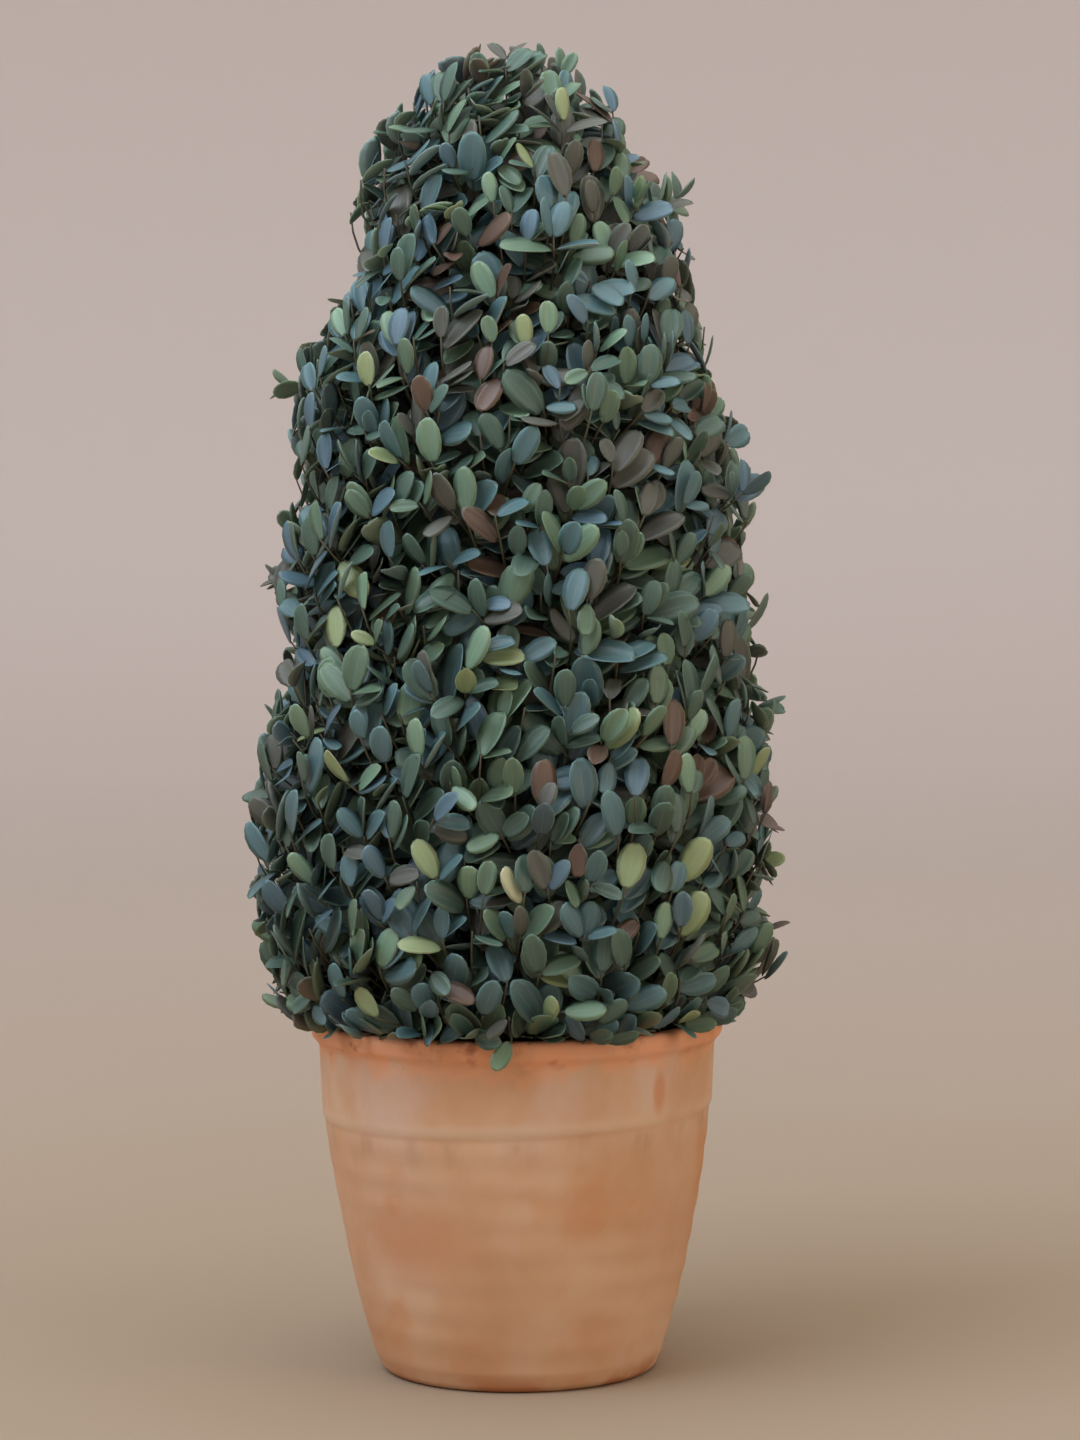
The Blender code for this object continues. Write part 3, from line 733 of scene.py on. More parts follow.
def join_copies(name, masters, placements):
    """One object of many copies. A placement is a master's number, a sized turn, a place and a tone."""
    parts = defaultdict(list)
    corner_start = 0
    loop_start = 0
    for number, master in enumerate(masters):
        chosen = [placement[1:] for placement in placements if placement[0] == number]
        if not chosen:
            continue
        turns, places, tones = (np.array(values) for values in zip(*chosen))
        copies = np.arange(len(chosen))[:, None]
        corners = read_values(master.vertices, "co", 3, float).reshape(-1, 3)
        loops = read_values(master.loops, "vertex_index")
        starts = read_values(master.polygons, "loop_start")
        sheets = read_values(master.polygons, "material_index")
        parts["co"].append(np.einsum("nij,kj->nki", turns, corners) + places[:, None, :])
        parts["loops"].append(loops + corner_start + copies * len(corners))
        parts["starts"].append(starts + loop_start + copies * len(loops))
        parts["sheets"].append(np.tile(sheets, len(chosen)))
        parts["tones"].append(np.repeat(tones, len(corners)))
        if master.uv_layers:
            blade = read_values(master.uv_layers[0].data, "uv", 2, float)
            parts["blade"].append(np.tile(blade, len(chosen)))
        corner_start += len(chosen) * len(corners)
        loop_start += len(chosen) * len(loops)
    joined = {key: np.concatenate([values.reshape(-1) for values in part])
              for key, part in parts.items()}
    mesh = bpy.data.meshes.new(name)
    mesh.vertices.add(corner_start)
    mesh.vertices.foreach_set("co", joined["co"])
    mesh.loops.add(loop_start)
    mesh.loops.foreach_set("vertex_index", joined["loops"])
    mesh.polygons.add(len(joined["starts"]))
    mesh.polygons.foreach_set("loop_start", joined["starts"])
    mesh.polygons.foreach_set("material_index", joined["sheets"])
    mesh.update(calc_edges=True)
    if "blade" in joined:
        mesh.uv_layers.new(name="blade").data.foreach_set("uv", joined["blade"])
    mesh.attributes.new("leaf_tone", "FLOAT", "POINT").data.foreach_set("value", joined["tones"])
    mesh.shade_smooth()
    return add_object(name, mesh)


# Stem, boughs and twigs

def stem_axis(height):
    """Where the leaning stem's middle is at a height."""
    return Vector(((height - soil_top) * math.tan(STEM_LEAN), 0.0, height))


def leader_axis(height):
    """The leader goes on from the stem and swings back to the crown's axis."""
    share = min(max((height - stem_top) / (LEADER_TOP - stem_top), 0.0), 1.0)
    sway = Vector((math.sin(7 * share), math.sin(5 * share + 1) - math.sin(1), 0.0)) * LEADER_SWAY
    return stem_axis(stem_top) * (1 - share) + Vector((0, 0, height - stem_top * (1 - share))) + sway


def tube(path, radii, sides):
    """Corners and faces of a closed tube through a path, with a ring at each point."""
    corners = []
    side_axis = None
    for index, point in enumerate(path):
        ahead = path[min(index + 1, len(path) - 1)] - path[max(index - 1, 0)]
        ahead.normalize()
        if side_axis is None:
            side_axis = ahead.orthogonal().normalized()
        side_axis = (side_axis - ahead * ahead.dot(side_axis)).normalized()
        other_axis = ahead.cross(side_axis)
        for side in range(sides):
            angle = math.tau * side / sides
            aside = side_axis * math.cos(angle) + other_axis * math.sin(angle)
            corners.append(point + aside * radii[index])
    faces = []
    for low, side in itertools.product(range(0, len(corners) - sides, sides), range(sides)):
        after = (side + 1) % sides
        faces.append((low + side, low + after, low + sides + after, low + sides + side))
    faces.append(tuple(range(sides - 1, -1, -1)))
    faces.append(tuple(range(len(corners) - sides, len(corners))))
    return corners, faces


def taper(start, end, steps):
    """Radii in even steps from one to another."""
    return [start + (end - start) * step / steps for step in range(steps + 1)]


def join_tubes(name, tubes):
    """One object of many tubes."""
    corners = []
    faces = []
    for tube_corners, tube_faces in tubes:
        start = len(corners)
        corners += tube_corners
        faces += [tuple(corner + start for corner in face) for face in tube_faces]
    mesh = bpy.data.meshes.new(name)
    mesh.from_pydata(corners, [], faces)
    mesh.shade_smooth()
    return add_object(name, mesh)


def on_curve(start, bend, end, share):
    """Point at a share of the way along a curve from start to end, pulled towards bend."""
    return start * (1 - share) ** 2 + bend * (2 * share * (1 - share)) + end * share ** 2


def curve_through(start, bend, end, steps):
    """Points in even steps along such a curve."""
    return [on_curve(start, bend, end, step / steps) for step in range(steps + 1)]


def build_stem(bark):
    """The foot of the stem, flared at the compost, with cracked bark in its surface."""
    outline = []
    for ring in range(STEM_RINGS + 1):
        share = ring / STEM_RINGS
        flare = (STEM_FLARE_RADIUS - STEM_FOOT_RADIUS) * max(1 - 2 * share, 0) ** 2
        radius = STEM_FOOT_RADIUS + (STEM_TIP_RADIUS - STEM_FOOT_RADIUS) * share + flare
        outline.append((radius, stem_foot + (stem_top - stem_foot) * share))
    stem = raise_rings(outline, STEM_SIDES)
    close_ends()
    for corner in stem.data.vertices:
        level = Vector((corner.co.x, corner.co.y, 0.0))
        crack = noise.noise(Vector((level.x, level.y, corner.co.z * 0.2)) / CRACK_WIDTH)
        flutes = math.cos(3 * math.atan2(level.y, level.x)) * (level.length - STEM_TIP_RADIUS) * 0.25
        corner.co += level.normalized() * (CRACK_DEPTH * crack + flutes)
        corner.co += stem_axis(corner.co.z) - UP * corner.co.z
    bpy.ops.object.shade_smooth_by_angle(angle=math.radians(60))
    finish_piece(stem, "stem_bark", [bark], "stem")


# Crown

def smooth_through(points, steps):
    """Catmull-Rom curve through (height, radius) points."""
    before_first = tuple(2 * a - b for a, b in zip(points[0], points[1]))
    after_last = tuple(2 * a - b for a, b in zip(points[-1], points[-2]))
    chain = [before_first, *points, after_last]
    curve = []
    for knots in zip(chain, chain[1:], chain[2:], chain[3:]):
        for step in range(steps):
            t = step / steps
            curve.append(tuple(
                0.5 * (2 * b + (c - a) * t + (2 * a - 5 * b + 4 * c - d) * t ** 2
                       + (3 * b - a - 3 * c + d) * t ** 3)
                for a, b, c, d in zip(*knots)))
    curve.append(points[-1])
    return curve


class Crown:
    """The clipped space: its radius at a height, and points along its outline."""

    def __init__(self):
        span = CROWN_TOP - pot_height
        knots = [(pot_height + high * span, wide * CROWN_RADIUS) for high, wide in CROWN_SHAPE]
        curve = smooth_through(knots, OUTLINE_STEPS)
        self.curve = [Vector((radius, height)) for height, radius in curve]
        self.lengths = [0.0]
        for start, end in zip(self.curve, self.curve[1:]):
            self.lengths.append(self.lengths[-1] + (end - start).length)
        self.length = self.lengths[-1]
        self.rows = round((self.length - FIRST_ROW) / ROW_STEP)

    def at(self, length):
        """Point (radius, height) and outward slope angle at a length along the outline."""
        index = 0
        while index < len(self.curve) - 2 and self.lengths[index + 1] < length:
            index += 1
        start, end = self.curve[index], self.curve[index + 1]
        share = (length - self.lengths[index]) / (self.lengths[index + 1] - self.lengths[index])
        along = end - start
        return start.lerp(end, share), math.atan2(-along.x, along.y)

    def tier(self, length, radius):
        """How far the outline steps in between two rows, less so near the top."""
        step = (self.length - FIRST_ROW) / self.rows
        turn = math.tau * (length - FIRST_ROW - TIER_RISE) / step
        return TIER_DEPTH * min(radius / TIER_FULL_RADIUS, 1.0) * (0.5 - 0.5 * math.cos(turn))

    def radius(self, azimuth, height):
        """Radius of the outline with its tufts. Below the lip it stays as it is at the lip."""
        height = max(height, pot_height)
        for index, (start, end) in enumerate(zip(self.curve, self.curve[1:])):
            if start.y <= height <= end.y:
                share = (height - start.y) / (end.y - start.y)
                radius = start.lerp(end, share).x
                length = self.lengths[index] + share * (self.lengths[index + 1] - self.lengths[index])
                return radius + swell(azimuth, height) - self.tier(length, radius)
        return 0.0

    def holds(self, point, slack):
        """Whether a point lies in the crown's space and slack, clear of the compost and the lip."""
        out = math.hypot(point.x, point.y)
        lowest = pot_height + RIM_CLEARANCE
        if out < inner_radius(pot_height) - RIM_CLEARANCE or out > lip_radius + RIM_CLEARANCE:
            lowest = pot_height - HANG
        reach = self.radius(math.atan2(point.y, point.x), point.z) + slack
        return lowest - max(slack - OVERSHOOT, 0.0) <= point.z <= CROWN_TOP + slack and out <= reach


def swell(azimuth, height):
    """How far the tufts push the outline out, or in, at an azimuth and a height."""
    total = 0.0
    for tuft_azimuth, tuft_height, tuft_swell, tallness in TUFTS:
        aside = math.remainder(azimuth - tuft_azimuth, math.tau) * CROWN_RADIUS
        distance = math.hypot(aside / TUFT_WIDTH, (height - tuft_height) / tallness)
        total += tuft_swell * math.exp(-0.5 * distance ** 2)
    return total


def height_share(height):
    """How far up the crown a height is, from 0 at the lip to 1 at the top."""
    return (height - pot_height) / (CROWN_TOP - pot_height)


def draw_green(place, draw):
    """One of the greens, by how common each is: more slate, as painted cool light, on the cool-lit side,
    more brown near the top.
    """
    cool_lit_share = 0.5 - 0.5 * math.cos(math.atan2(place.y, place.x) - WARM_SIDE)
    share = height_share(place.z)
    weights = {
        "deep_green": 34,
        "blue_green": 28 - 8 * share,
        "mid_green": 16,
        "slate": 5 + 13 * cool_lit_share,
        "dusk": 8 + 14 * share,
        "bronze": 3 * share,
    }
    return draw.choices(list(weights), list(weights.values()))[0]


def leaf_kind(spray, draw):
    """A leaf is mostly its spray's green. A few are new and pale, or bronzed by the cold."""
    if not spray.mixed:
        return spray.kind
    chance = draw.random()
    if chance < ODD_SHARE:
        return draw.choices(list(ODD_KINDS), list(ODD_KINDS.values()))[0]
    if chance < ODD_SHARE + MIXED_SHARE:
        return draw_green(spray.tip, draw)
    return spray.kind


def lay_spray(edge, out, depth, spin, **settings):
    """A twig that curves out of the crown and stops short of a point on its outline."""
    tip = edge - out * depth
    if tip.xy.length < lip_radius + RIM_CLEARANCE:
        tip.z = max(tip.z, pot_height + TIP_LIFT)
    inward = Vector((-tip.x, -tip.y, 0.0))
    if inward.length > MM:
        inward.normalize()
    bend = tip - out * (SPRAY_LENGTH * 0.5)
    foot = bend + (inward - UP * 0.5).normalized() * (SPRAY_LENGTH * 0.5)
    for point in (foot, bend):
        lowest = soil_top + FOOT_LIFT
        if point.xy.length > SHOULDER_RADIUS:
            lowest = pot_height + SHOULDER_LIFT
        point.z = max(point.z, lowest)
    return Spray(foot, bend, tip, out, spin, **settings)


def heading_out(azimuth, climb):
    """A direction from its azimuth and its climb above level."""
    return place_at(azimuth, math.cos(climb), math.sin(climb))


def place_sprays(crown, draw):
    """Sprays in rows round the crown, by the same rule as the solid's twigs, closer together."""
    sprays = []
    # The row before the first leans out over the lip
    for row in range(-1, crown.rows + 1):
        point, slope = crown.at(FIRST_ROW + (crown.length - FIRST_ROW) * max(row, 0) / crown.rows)
        count = max(1, round(math.tau * point.x / SPRAY_STEP))
        first = math.tau * (0.5 * (row % 2) + draw.uniform(-ROW_SHIFT, ROW_SHIFT)) / count
        size = FOOT_LEAF + (TOP_LEAF - FOOT_LEAF) * height_share(point.y)
        droop = FOOT_DROOP * max(1 - (point.y - pot_height) / DROOP_HEIGHT, 0.0)
        for index in range(count):
            azimuth = first + math.tau * (index + draw.uniform(-SPRAY_SHIFT, SPRAY_SHIFT)) / count
            climb = FOOT_CLIMB
            if row >= 0:
                climb = min(max(slope + SPRAY_CLIMB - droop, LOWEST_CLIMB), HIGHEST_CLIMB)
                climb += draw.uniform(-SPRAY_JITTER, SPRAY_JITTER)
            out = heading_out(azimuth + draw.uniform(-SPRAY_SWING, SPRAY_SWING), climb)
            height = point.y + draw.uniform(-ROW_JITTER, ROW_JITTER)
            edge = place_at(azimuth, point.x + swell(azimuth, height), height)
            slack = OVERSHOOT
            if 0 < row < STRAY_ROWS * crown.rows and draw.random() < STRAY_SHARE:
                slack += STRAY_REACH
            depth = TIP_DEPTH + draw.uniform(-DEPTH_JITTER, DEPTH_JITTER) - (slack - OVERSHOOT)
            spin = draw.uniform(-math.pi, math.pi)
            sprays.append(lay_spray(edge, out, depth, spin, kind=draw_green(edge, draw), mixed=True,
                                    leaves=2 * len(PAIRS), size=size, slack=slack))
    for azimuth, height, climb, reach, kind, leaves, size in STRAYS:
        edge = place_at(azimuth, crown.radius(azimuth, height), height)
        out = heading_out(azimuth, climb)
        # The first leaf starts below the twig, so its face looks out and up
        down = out.to_track_quat("Z", "Y").inverted() @ -UP
        sprays.append(lay_spray(edge, out, TIP_DEPTH - reach, math.atan2(down.y, down.x), kind=kind,
                                mixed=False, leaves=leaves, size=size, slack=reach + OVERSHOOT))
    return sprays


# A leaf in few faces: how far across, how far along, and how much of the cup each corner takes
HULL_CORNERS = (
    (0.0, 0.0, 0.0), (-0.48, 0.5, 0.97), (-0.35, 0.88, 0.7), (0.0, 1.0, 0.0), (0.35, 0.88, 0.7),
    (0.48, 0.5, 0.97), (0.0, 0.5, 0.0), (0.0, 0.88, 0.0),
)
HULL_FACES = ((0, 1, 6), (0, 6, 5), (1, 2, 7), (1, 7, 6), (6, 7, 4), (6, 4, 5), (2, 3, 7), (7, 3, 4))
HULL_MIDDLE = 6


def leaf_hull(form, matrix, place):
    """Corners of a leaf, cupped and drooping as its form is, for the test against its neighbours."""
    cup, droop = LEAF_FORMS[form]
    corners = [Vector((across * LEAF_WIDTH, along * LEAF_LENGTH, rise * cup - droop * along ** 2))
               for across, along, rise in HULL_CORNERS]
    return [place + matrix @ corner for corner in corners]


class Neighbours:
    """What has grown already, sorted by its place, and tested for crossings."""

    def __init__(self):
        self.cells = defaultdict(list)

    def cell(self, middle):
        """Key of the cell that a point lies in."""
        return tuple(math.floor(value / NEIGHBOUR_REACH) for value in middle)

    def crossed(self, middle, surface):
        """Whether a surface crosses anything that has grown."""
        key = self.cell(middle)
        for step in itertools.product((-1, 0, 1), repeat=3):
            for other_middle, other in self.cells[tuple(a + b for a, b in zip(key, step))]:
                if (other_middle - middle).length < NEIGHBOUR_REACH and surface.overlap(other):
                    return True
        return False

    def add(self, middle, surface):
        """Keep a surface for the tests to come."""
        self.cells[self.cell(middle)].append((middle, surface))


def twig_path(spray, bare=0.0):
    """Points along a spray's twig, from its foot to the bud beyond its last leaves."""
    share = 1 - bare / SPRAY_LENGTH
    bend = spray.foot.lerp(spray.bend, share)
    end = bend.lerp(spray.bend.lerp(spray.tip, share), share)
    return curve_through(spray.foot, bend, end + spray.out * BUD_LENGTH, TWIG_STEPS)


def leaf_on(spray, pair, opposite, attempt, draw):
    """Turn, size and place of one leaf of a pair. Each new attempt strays further and is smaller."""
    distance, tilt, size = PAIRS[pair]
    share = 1 - distance / SPRAY_LENGTH
    node = on_curve(spray.foot, spray.bend, spray.tip, share)
    ahead = ((spray.bend - spray.foot) * (1 - share) + (spray.tip - spray.bend) * share).normalized()
    turn = ahead.to_track_quat("Z", "Y")
    spin = spray.spin + math.pi / 2 * pair + math.pi * opposite
    spin += draw.uniform(-LEAF_TURN, LEAF_TURN) * (1 + attempt)
    tilt += draw.uniform(-LEAF_NOD, LEAF_NOD) * (1 + attempt)
    aside = turn @ Vector((math.cos(spin), math.sin(spin), 0.0))
    along = aside * math.sin(tilt) + ahead * math.cos(tilt)
    outward = Vector((node.x, node.y, 0.0)).normalized() if node.xy.length > MM else UP
    # Leaves twist their faces to the light, which comes from above and outside
    face = ahead + (UP * 0.5 + outward * 0.9) * LIGHT_TWIST
    face = (face - along * along.dot(face)).normalized()
    face.rotate(Quaternion(along, draw.uniform(-LEAF_ROLL, LEAF_ROLL)))
    side = along.cross(face)
    size *= spray.size * draw.uniform(*LEAF_SIZES) * (1 - LEAF_SHRINK * attempt)
    width = size * draw.uniform(*LEAF_WIDTHS)
    columns = (side * width, along * size, face * size)
    return Matrix(columns).transposed(), node + aside * TWIG_RADIUS


def leaf_order(sprays):
    """Each leaf's spray, pair and side, as they grow: the inmost pair last, to fill what is left."""
    inmost = len(PAIRS) - 1
    order = [(index, *divmod(number, 2))
             for index, spray in enumerate(sprays) for number in range(spray.leaves)]
    return sorted(order, key=lambda leaf: leaf[1] == inmost)


def grow_leaves(crown, sprays, draw):
    """Crossed pairs of leaves on every spray, and the sprays that have leaves, each with its bare length.

    A leaf that would leave the space or cross a twig or another leaf is skipped.
    """
    grown = Neighbours()
    for spray in sprays:
        path = twig_path(spray)
        for start, end in list(zip(path, path[1:]))[-BARE_STEPS:]:
            aside = (end - start).orthogonal().normalized() * (TWIG_RADIUS / 2)
            corners = [start, end, end + aside, start + aside]
            grown.add((start + end) / 2, BVHTree.FromPolygons(corners, [(0, 1, 2), (0, 2, 3)]))
    leaves = []
    bare_ends = {}
    for index, pair, opposite in leaf_order(sprays):
        spray = sprays[index]
        form = draw.randrange(len(LEAF_FORMS))
        for attempt in range(LEAF_TRIES):
            turn, place = leaf_on(spray, pair, opposite, attempt, draw)
            corners = leaf_hull(form, turn, place)
            if not all(crown.holds(corner, spray.slack) for corner in corners):
                continue
            middle = corners[HULL_MIDDLE]
            surface = BVHTree.FromPolygons(corners, HULL_FACES)
            if grown.crossed(middle, surface):
                continue
            grown.add(middle, surface)
            # The tone is the leaf's age, with painted shade further in along the twig and painted light
            # higher up the crown
            tone = TIP_TONE - PAIR_TONE * pair + PAINTED_LIGHT_RISE * (height_share(middle.z) - 0.5)
            tone += draw.uniform(-TONE_SPREAD, TONE_SPREAD)
            tone = min(max(tone, 0.0), 1.0)
            leaves.append(Leaf(leaf_kind(spray, draw), form, turn, place, tone, middle))
            bare_ends.setdefault(index, PAIRS[pair][0] - PAIRS[0][0])
            break
    return leaves, [(sprays[index], bare) for index, bare in bare_ends.items()]


def place_accents(leaves):
    """Give each accent's kind to the front leaf that shows best near its place."""
    accents = [(across, height, kind) for kind, places in ACCENTS.items() for across, height in places]
    for across, height, kind in accents:
        def fit(number):
            leaf = leaves[number]
            away = math.hypot(leaf.middle.x - across * MM, leaf.middle.z - height * MM)
            facing = abs(leaf.turn.col[2].y) / leaf.turn.col[2].length
            return away + ACCENT_INSET * leaf.middle.y - ACCENT_EDGE * facing
        chosen = min(range(len(leaves)), key=fit)
        tone = max(leaves[chosen].tone, ACCENT_TONE)
        leaves[chosen] = leaves[chosen]._replace(kind=kind, tone=tone)


def model_leaf(number, cup, droop, materials):
    """One leaf along +Y, its foot at the origin: a thin closed blade with a paler face below."""
    rows = len(LEAF_OUTLINE) - 1
    bpy.ops.mesh.primitive_grid_add(x_subdivisions=4, y_subdivisions=rows, size=1.0)
    leaf = bpy.context.object
    leaf.name = f"leaf_form_{number}"
    bpy.ops.object.mode_set(mode="EDIT")
    bpy.ops.transform.resize(value=(LEAF_WIDTH, LEAF_LENGTH, 1), center_override=(0, 0, 0))
    bpy.ops.transform.translate(value=(0, LEAF_LENGTH / 2, 0))
    for place, height in ((1.0, cup), (0.5, cup * 0.3), (0.0, -RIB_DEPTH)):
        across = place * LEAF_WIDTH / 2
        select_points(leaf, lambda corner: abs(abs(corner.x) - across) < CORNER_REACH)
        bpy.ops.transform.translate(value=(0, 0, height))
    for row in range(rows, -1, -1):
        along, wide = LEAF_OUTLINE[row]
        level = LEAF_LENGTH * row / rows
        select_points(leaf, lambda corner: abs(corner.y - level) < CORNER_REACH)
        bpy.ops.transform.resize(value=(wide, 1, wide), center_override=(0, level, 0))
        bpy.ops.transform.translate(value=(0, LEAF_LENGTH * along - level, -droop * along ** 2))
    select_points(leaf, lambda corner: corner.y > 0.99 * LEAF_LENGTH and abs(corner.x) < CORNER_REACH)
    bpy.ops.transform.translate(value=(0, -LEAF_NOTCH, 0))
    leaf.vertex_groups.new(name="inner")
    bpy.ops.mesh.select_all(action="DESELECT")
    bpy.ops.mesh.select_non_manifold()
    bpy.ops.mesh.select_all(action="INVERT")
    bpy.ops.object.vertex_group_assign()
    bpy.ops.object.mode_set(mode="OBJECT")
    for material in materials:
        leaf.data.materials.append(material)
    bpy.ops.object.modifier_add(type="SOLIDIFY")
    thicken = leaf.modifiers[-1]
    thicken.thickness = LEAF_THICKNESS
    thicken.offset = -1.0
    thicken.vertex_group = "inner"
    thicken.thickness_vertex_group = 0.0
    thicken.use_rim = False
    thicken.material_offset = 1
    bpy.ops.object.modifier_apply(modifier=thicken.name)
    bpy.ops.object.mode_set(mode="EDIT")
    bpy.ops.mesh.select_all(action="SELECT")
    bpy.ops.mesh.remove_doubles(threshold=0.01 * MM)
    bpy.ops.object.mode_set(mode="OBJECT")
    return leaf


def grow_boughs(crown):
    """The leader and the boughs that leave it in a spiral, and their joints, each with its radius."""
    foot = stem_top + FIT_GAP
    leader = [leader_axis(height) for height in taper(foot, LEADER_TOP, LEADER_RINGS)]
    radii = taper(STEM_TIP_RADIUS, LEADER_TIP_RADIUS, LEADER_RINGS)
    tubes = [tube(leader, radii, LEADER_SIDES)]
    joints = list(zip(leader[2:], radii[2:]))
    height = stem_top + FIRST_BOUGH
    azimuth = 0.0
    while height < LEADER_TOP - LAST_BOUGH:
        start = leader_axis(height)
        length = BOUGH_START
        out = place_at(azimuth, 1.0, math.tan(BOUGH_CLIMB)).normalized()
        end = start + out * length
        while (end.z < CROWN_TOP - BOUGH_DEPTH
               and end.xy.length < crown.radius(azimuth, end.z) - BOUGH_DEPTH):
            length += MM
            end = start + out * length
        if length > SHORTEST_BOUGH:
            bend = start.lerp(end, 0.5) - UP * (BOUGH_SAG * length)
            path = curve_through(start, bend, end, BOUGH_RINGS)
            thick = BOUGH_RADIUS * (1 - BOUGH_THINNING * (height - stem_top) / (LEADER_TOP - stem_top))
            thin = taper(thick, thick / 2, BOUGH_RINGS)
            tubes.append(tube(path, thin, BOUGH_SIDES))
            joints += list(zip(path[2:], thin[2:]))
        height += BOUGH_STEP
        azimuth += GOLDEN_ANGLE
    return tubes, joints


def grow_laterals(sprays, joints):
    """A lateral to each spray's foot from the nearest joint, rather from one that lies lower."""
    laterals = []
    for spray in sprays:
        def reach(joint):
            place = joint[0]
            above = place.z - spray.foot.z + LATERAL_CLIMB
            return (spray.foot - place).length + LATERAL_CLIMB_WEIGHT * max(above, 0.0)
        start, thick = min(joints, key=reach)
        gap = (spray.foot - start).length
        bend = spray.foot - (spray.bend - spray.foot).normalized() * (LATERAL_BEND * gap)
        radii = taper(min(thick, LATERAL_RADIUS), TWIG_RADIUS, LATERAL_RINGS)
        laterals.append(tube(curve_through(start, bend, spray.foot, LATERAL_RINGS), radii, TWIG_SIDES))
    return laterals


def grow_twigs(leafy):
    """A four-sided twig along each spray, up to a bud at its end."""
    radii = [TWIG_RADIUS * (1 - TWIG_TAPER * step / TWIG_STEPS) for step in range(TWIG_STEPS + 1)]
    return [tube(twig_path(spray, bare), radii, TWIG_SIDES) for spray, bare in leafy]


# Upper face, darkest and lightest, its margins, rib and painted-lit tip, and the underside, darkest and
# lightest
LEAF_COLOURS = {
    "deep_green": ("#2E3929", "#557467", "#789A86", "#5A6A56", "#788A78"),
    "blue_green": ("#303F38", "#5C8288", "#7CA49C", "#5C7068", "#7E958F"),
    "slate": ("#354140", "#5A7D8C", "#7E9EA2", "#5C7072", "#7A8F95"),
    "mid_green": ("#3B4831", "#688870", "#8CA684", "#667459", "#84967E"),
    "dusk": ("#3C3B30", "#60655C", "#74796C", "#5E6054", "#70766C"),
    "pale_green": ("#46664E", "#86AA8E", "#A6C09E", "#7A9276", "#98AC90"),
    "yellow_green": ("#5E744E", "#9EB080", "#B6C49A", "#8C9A74", "#A4AE88"),
    "cream": ("#8E906A", "#C8CCA6", "#D6DABA", "#A6A686", "#BABC9E"),
    "bronze": ("#3C3229", "#685446", "#746654", "#625648", "#706658"),
}
PIECE_LEAVES = 2200


def build_foliage(draw):
    """The clipped crown: leader, boughs, laterals and twigs, and thousands of small leaves in pairs."""
    crown = Crown()
    sprays = place_sprays(crown, draw)
    bark = boxwood_bark()
    build_stem(bark)
    leaves, leafy = grow_leaves(crown, sprays, draw)
    place_accents(leaves)
    boughs, joints = grow_boughs(crown)
    laterals = grow_laterals([spray for spray, _ in leafy], joints)
    for name, tubes, material, slot in (("boughs", boughs, bark, "bark"),
                                        ("laterals", laterals, bark, "bark"),
                                        ("twigs", grow_twigs(leafy), young_twig(), "leaves")):
        finish_piece(join_tubes(name, tubes), name, [material], "foliage")
    skins = {}
    for kind, (dark, light, margin_and_lit_tip, under_dark, under_light) in LEAF_COLOURS.items():
        skins[kind] = [leaf_upper(kind, dark, light, margin_and_lit_tip), leaf_under(kind, under_dark, under_light)]
    forms = [model_leaf(number, cup, droop, skins["deep_green"])
             for number, (cup, droop) in enumerate(LEAF_FORMS)]
    masters = [form.data for form in forms]
    for kind in LEAF_COLOURS:
        placements = [leaf[1:5] for leaf in leaves if leaf.kind == kind]
        for start in range(0, len(placements), PIECE_LEAVES):
            name = f"leaves_{kind}_{start // PIECE_LEAVES + 1}"
            piece = join_copies(name, masters, placements[start:start + PIECE_LEAVES])
            finish_piece(piece, name, skins[kind], "foliage")
    for form in forms:
        bpy.data.objects.remove(form)


# Studio

def build_stage():
    """A pale seamless floor that curves up into a round wall, all round the plant."""
    bend = STAGE_RADIUS - STAGE_ROUND
    outline = [(1 * MM, 0.0), (bend, 0.0)]
    outline += arc((bend, STAGE_ROUND), STAGE_ROUND, -80, 0, 16)
    outline.append((STAGE_RADIUS, STAGE_HEIGHT))
    stage = raise_rings(outline, STAGE_SIDES)
    stage.name = "studio_cove"
    bpy.ops.object.shade_smooth()
    stage.data.materials.append(painted_cove())


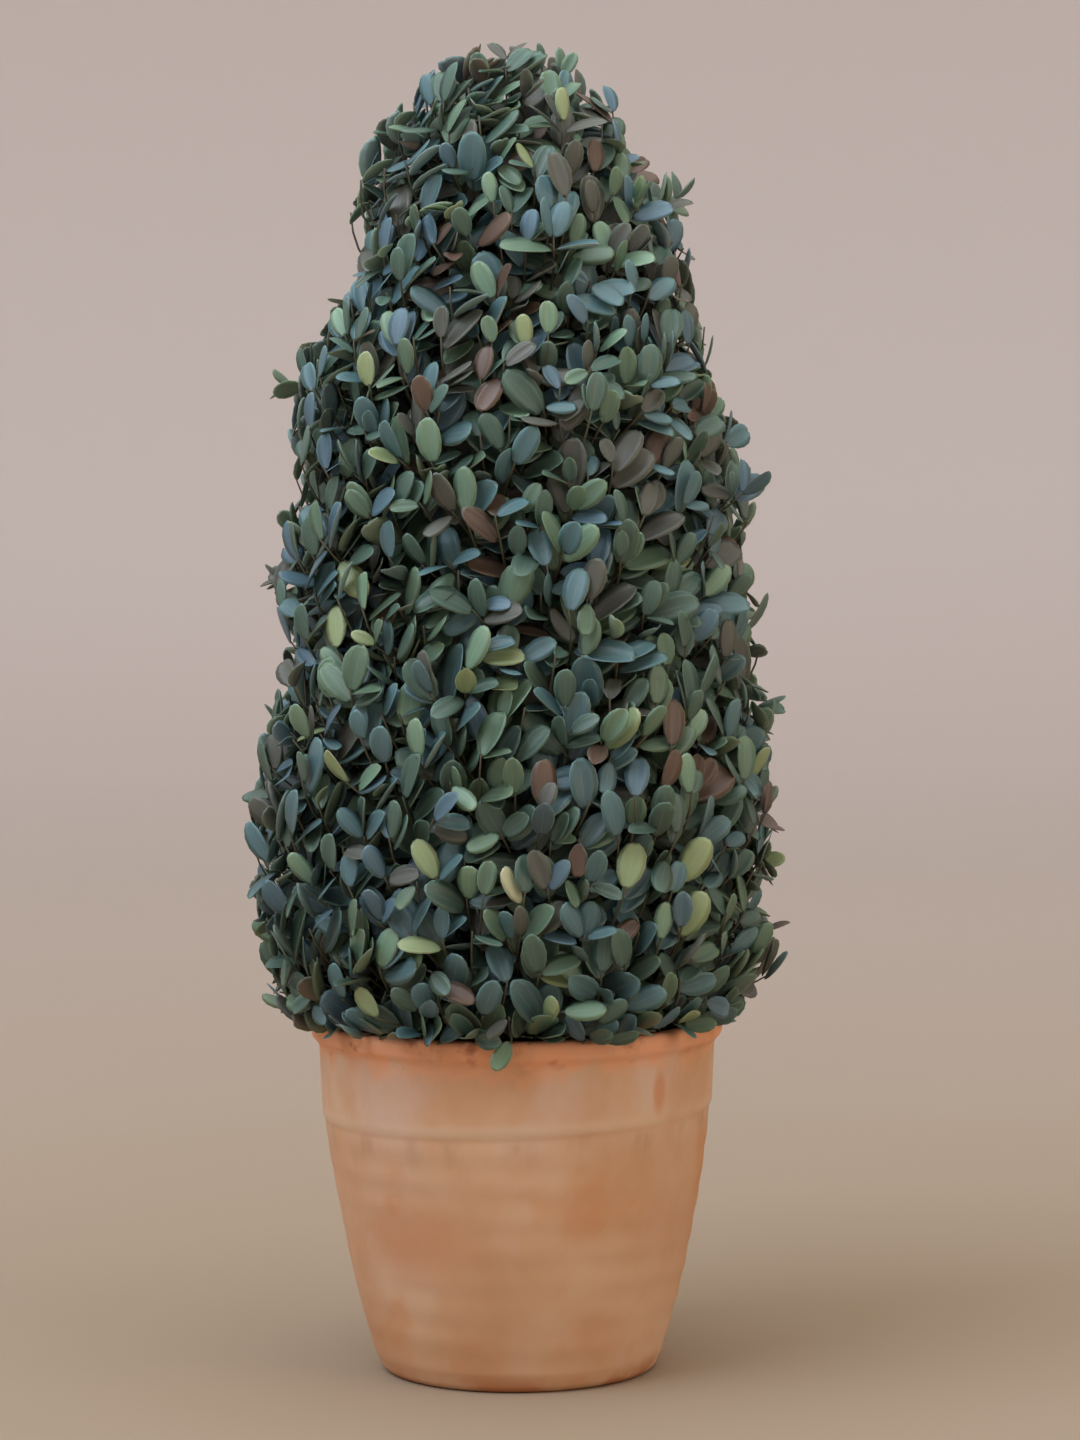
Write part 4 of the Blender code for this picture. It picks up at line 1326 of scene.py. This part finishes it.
def painted_cove():
    """Matt emulsion, rolled, in soft clouds: darker and warmer near the plant as painted shade, paler
    further off as painted light.
    """
    material, tree, shader = new_material("painted_cove", 0.9)
    place = add_node(tree, "TexCoord").outputs["Object"]
    cloudy = add_node(tree, "TexNoise", {"Vector": place, "Scale": 0.6, "Detail": 1.0})
    away = add_node(tree, "VectorMath", {0: place}, operation="LENGTH")
    away = add_node(tree, "Math", {0: cloudy, 1: 0.5, 2: away}, operation="MULTIPLY_ADD")
    tone = add_node(tree, "MapRange", {"Value": away, "From Min": 0.4, "From Max": 3.4})
    # Painted shade on the floor near the plant, painted light on the far wall
    paint_with_shade = add_node(tree, "Mix", {"Factor": tone, "A": linear("#A08E76"), "B": linear("#D5CCC7")},
                     data_type="RGBA")
    set_inputs(shader, {"Base Color": paint_with_shade})
    return material


def add_lamp(name, place, size, power, colour):
    """A square soft lamp that faces the crown."""
    lamp = bpy.data.lights.new(name, "AREA")
    lamp.size = size
    lamp.energy = power
    lamp.color = linear(colour)[:3]
    stand = add_object(name, lamp)
    stand.location = place
    stand.rotation_euler = (CAMERA_AIM - Vector(place)).to_track_quat("-Z", "Y").to_euler()
    stand.visible_camera = False


def light_studio():
    """Cool soft light from the upper left and above, warmer light from the right, and an even fill."""
    add_lamp("cool_window", (-1.3, -1.0, 2.1), 1.8, 38, "#DCE8FF")
    add_lamp("warm_fill", (1.9, -1.2, 1.0), 1.4, 10, "#FFE6CC")
    add_lamp("top_softbox", (0.0, -0.3, 2.5), 2.2, 22, "#F6F8FF")
    world = bpy.data.worlds.new("studio")
    bpy.context.scene.world = world
    world.use_nodes = True
    background = world.node_tree.nodes["Background"]
    background.inputs["Color"].default_value = linear("#F0E8E2")
    background.inputs["Strength"].default_value = 0.82
    bpy.context.scene.view_settings.view_transform = "Standard"


def place_camera():
    """The photograph's viewpoint: a little above the crown's middle, looking slightly down."""
    lens = bpy.data.cameras.new("camera")
    lens.sensor_width = SENSOR_WIDTH
    line = CAMERA_AIM - CAMERA_PLACE
    lens.lens = SENSOR_WIDTH * line.length / VIEW_HEIGHT
    lens.clip_start = 0.05
    camera = add_object("camera", lens)
    camera.location = CAMERA_PLACE
    roll = Quaternion((0.0, 0.0, 1.0), CAMERA_ROLL)
    camera.rotation_euler = (line.to_track_quat("-Z", "Y") @ roll).to_euler()
    bpy.context.scene.camera = camera


draw = random.Random(SEED)
place_camera()
light_studio()
build_stage()
build_pot()
build_compost(draw)
build_foliage(draw)
